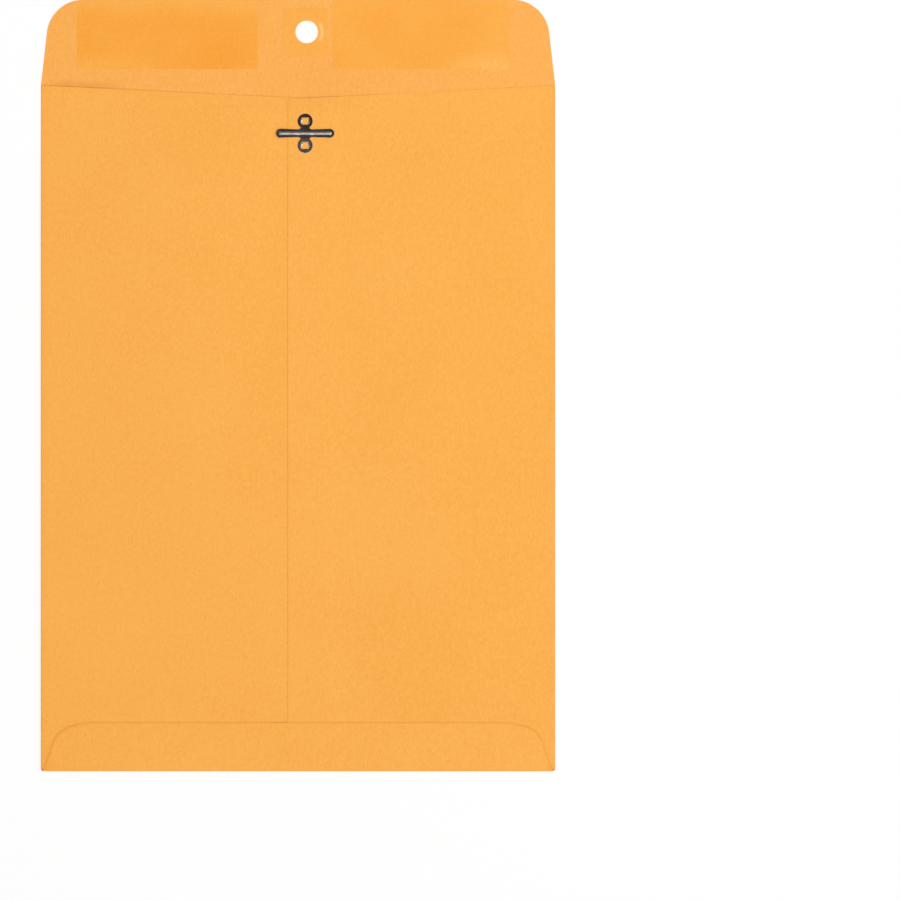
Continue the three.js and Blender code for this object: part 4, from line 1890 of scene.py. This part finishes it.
@dataclass
class Shives:
    """Slivers of undigested wood that show as tiny brown flecks in kraft paper."""

    finishes: Finishes
    per_square_metre: float = 900.0
    length_mm: float = 0.32
    width_mm: float = 0.05
    flatness: float = 0.12
    smallest: float = 0.25
    facing_up: float = 0.9
    seed: int = 7

    def tree(self) -> bpy.types.NodeTree:
        """A tree that strews flecks over the upward faces of a sheet.

        Returns:
            The tree.
        """
        lengths = dict.fromkeys(("Density", "Length", "Width"), "Float")
        graph, given = new_tree("strewn_shives", {**lengths, "Seed": "Int", "Material": "Material"})
        seed = given["Seed"]
        rise = graph.add("ShaderNodeSeparateXYZ", {0: graph.add("GeometryNodeInputNormal")}, "Z")
        upward = graph.add("FunctionNodeCompare", {0: rise, 1: self.facing_up}, operation="GREATER_THAN")
        ground = {"Mesh": given["Geometry"], "Selection": upward, "Density": given["Density"], "Seed": seed}
        points = graph.add("GeometryNodeDistributePointsOnFaces", ground)
        ball = {"Segments": 6, "Rings": 4, "Radius": given["Width"]}
        sliver = graph.add("GeometryNodeMeshUVSphere", ball)
        stretch = graph.maths("DIVIDE", given["Length"], given["Width"])
        shape = graph.add("ShaderNodeCombineXYZ", {"X": stretch, "Y": 1.0, "Z": self.flatness})
        fleck = graph.add("GeometryNodeTransform", {"Geometry": sliver, "Scale": shape})
        turns = {0: (0, 0, 0), 1: (0, 0, math.tau), "Seed": seed}
        turn = graph.add("FunctionNodeRandomValue", turns, data_type="FLOAT_VECTOR")
        sizes = {2: self.smallest, 3: 1.0, "Seed": seed}
        size = graph.add("FunctionNodeRandomValue", sizes, 1, data_type="FLOAT")
        copies = {"Points": points, "Instance": fleck, "Rotation": turn, "Scale": size}
        return graph.deliver(graph.add("GeometryNodeInstanceOnPoints", copies), given["Material"])

    def strew(self, sheet: Piece, tree: bpy.types.NodeTree, seed: int) -> Piece:
        """Strews flecks over one sheet that rides on the pocket.

        Args:
            sheet: The sheet.
            tree: The tree of this class.
            seed: The number that settles where they lie.

        Returns:
            The flecks, as one piece.
        """
        made = linked(f"{sheet.name}_shives", sheet.data.copy())
        values = {
            "Density": self.per_square_metre,
            "Length": self.length_mm * MM,
            "Width": self.width_mm * MM,
            "Seed": self.seed + seed,
            "Material": self.finishes.shive,
        }
        bake_nodes(made, tree, values)
        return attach(made, Body.POCKET.value)


# Studio


@dataclass
class Studio:
    """The pale floor, the soft lights and the camera straight above."""

    layout: Layout
    pixels: float = 900.0
    pixel_mm: float = 0.4445
    envelope_middle_px: float = 298.06
    crease_px: float = 85.4
    lens_mm: float = 200.0
    sensor_mm: float = 36.0
    view_end_m: float = 20.0
    floor_half: float = 3000.0
    floor_z: float = -0.02
    backdrop_share: float = 0.75
    key_direction: Corner = (0.2, -0.62, 0.76)
    key_degrees: float = 73.0
    key_share: float = 0.24
    lift_place: Corner = (1100.0, 600.0, 1200.0)
    lift_size: float = 1500.0
    lift_watts: float = 12.0
    dim_direction: Corner = (0.0, 0.125, 0.992)
    dim_tint: tuple[float, float, float, float] = (1.0, 0.62, 0.4, 1.0)
    dim_share: float = 0.95
    dim_from: float = 0.84
    dim_to: float = 0.982
    sky_level: float = 0.41
    sky_towards_viewer: float = 0.12
    sky_overhead: float = 0.4

    def camera(self) -> None:
        """Looks straight down with the photograph's framing."""
        x = (self.pixels / 2 - self.envelope_middle_px) * self.pixel_mm
        y = self.layout.crease_y - (self.pixels / 2 - self.crease_px) * self.pixel_mm
        distance = self.pixels * self.pixel_mm * self.lens_mm / self.sensor_mm
        data = bpy.data.cameras.new("camera")
        data.lens = self.lens_mm
        data.sensor_width = self.sensor_mm
        data.clip_end = self.view_end_m
        made = linked("camera", data)
        made.location = Vector((x, y, distance)) * MM
        bpy.context.scene.camera = made

    def floor(self) -> None:
        """A wide white floor just under the envelope, a bright backdrop that keeps a faint shadow."""
        signs = np.array([(-1, -1), (1, -1), (1, 1), (-1, 1)])
        corners = np.column_stack([signs * self.floor_half, np.full(4, self.floor_z)])
        made = mesh_object("floor", corners, [(0, 1, 2, 3)])
        pale = PlainFinish("white_floor", "#fefefe", roughness=0.9, vary_mm=400.0, vary_colour="#fdfdfd")
        finish = pale.material()
        made.data.materials.append(finish)
        graph, nodes = Graph(finish.node_tree), finish.node_tree.nodes
        rays = graph.add("ShaderNodeLightPath").node.outputs
        seen = graph.maths("MAXIMUM", rays["Is Camera Ray"], rays["Is Glossy Ray"])
        seen = graph.maths("MAXIMUM", seen, rays["Is Transmission Ray"])
        share = graph.maths("MULTIPLY", seen, self.backdrop_share)
        white = graph.add("ShaderNodeEmission", {"Strength": 1.0})
        surfaces = {0: share, 1: nodes["Principled BSDF"].outputs[0], 2: white}
        graph.feed(nodes["Material Output"], {"Surface": graph.add("ShaderNodeMixShader", surfaces)})

    def light(self, name: str, kind: str, towards: Vector) -> Piece:
        """Makes a light that shines on the envelope.

        Args:
            name: The light's name.
            kind: Its type.
            towards: The direction from the envelope to it.

        Returns:
            The light, still at the origin.
        """
        made = linked(name, bpy.data.lights.new(name, kind))
        made.rotation_mode = "QUATERNION"
        made.rotation_quaternion = (-towards).to_track_quat("-Z", "Y")
        return made

    def sky(self) -> None:
        """A white surround that is dim just above the camera and brighter towards the viewer."""
        world = bpy.data.worlds.new("studio")
        bpy.context.scene.world = world
        world.use_nodes = True
        graph = Graph(world.node_tree)
        direction = graph.add("ShaderNodeTexCoord", output="Generated")
        parts = graph.add("ShaderNodeSeparateXYZ", {0: direction}).node.outputs
        axes = {0: direction, 1: self.dim_direction}
        nearness = graph.add("ShaderNodeVectorMath", axes, "Value", operation="DOT_PRODUCT")
        dim = graph.ramp(nearness, self.dim_from, self.dim_to, interpolation_type="SMOOTHSTEP")
        tint = graph.mix(dim, (1.0, 1.0, 1.0, 1.0), self.dim_tint)
        shade = graph.maths("MULTIPLY_ADD", dim, -self.dim_share, 1.0)
        level = graph.maths("MULTIPLY_ADD", parts["Y"], -self.sky_towards_viewer, self.sky_level)
        level = graph.maths("MULTIPLY_ADD", parts["Z"], self.sky_overhead, level)
        strength = graph.maths("MULTIPLY", shade, level)
        graph.feed(world.node_tree.nodes["Background"], {"Color": tint, "Strength": strength})

    def lights(self) -> None:
        """A soft key from the lower right, a square lamp that lifts the upper right, and the sky."""
        towards = Vector(self.key_direction).normalized()
        key = self.light("key", "SUN", towards)
        key.data.angle = math.radians(self.key_degrees)
        key.data.energy = math.pi * self.key_share / towards.z
        lift = self.light("lift", "AREA", Vector(self.lift_place))
        lift.location = Vector(self.lift_place) * MM
        lift.data.shape = "SQUARE"
        lift.data.size = self.lift_size * MM
        lift.data.energy = self.lift_watts
        self.sky()
        bpy.context.scene.view_settings.view_transform = "Standard"


def main() -> None:
    """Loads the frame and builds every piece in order."""
    logging.basicConfig(level=logging.INFO, format="%(name)s: %(message)s")
    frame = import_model()
    layout = Layout.read()
    studio = Studio(layout)
    studio.camera()
    studio.floor()
    studio.lights()
    finishes = Finishes.make()
    form = PaperForm(layout)
    flap = SealFlapShape(layout)
    blank = Blank(layout, form, flap, finishes)
    trim = FlapTrim(form, flap, finishes)
    clasp = Clasp(layout, finishes)
    left = blank.back_panel(Side.LEFT)
    right = blank.back_panel(Side.RIGHT)
    pieces = [
        blank.front(),
        left,
        right,
        blank.bottom(),
        trim.gum("gum_strip_left", Side.LEFT),
        trim.gum("gum_strip_right", Side.RIGHT),
        trim.patch(),
        clasp.base(),
        clasp.prong(Side.LEFT),
        clasp.prong(Side.RIGHT),
        clasp.tabs(),
    ]
    shives = Shives(finishes)
    strewn = shives.tree()
    pieces += [shives.strew(sheet, strewn, seed) for seed, sheet in enumerate((left, right))]
    films = Films(frame, layout, form, finishes)
    films.bottom()
    pieces.append(films.seam())
    for piece in pieces:
        LOG.info("%s: %d faces", piece.name, len(piece.data.polygons))


if __name__ == "__main__":
    main()
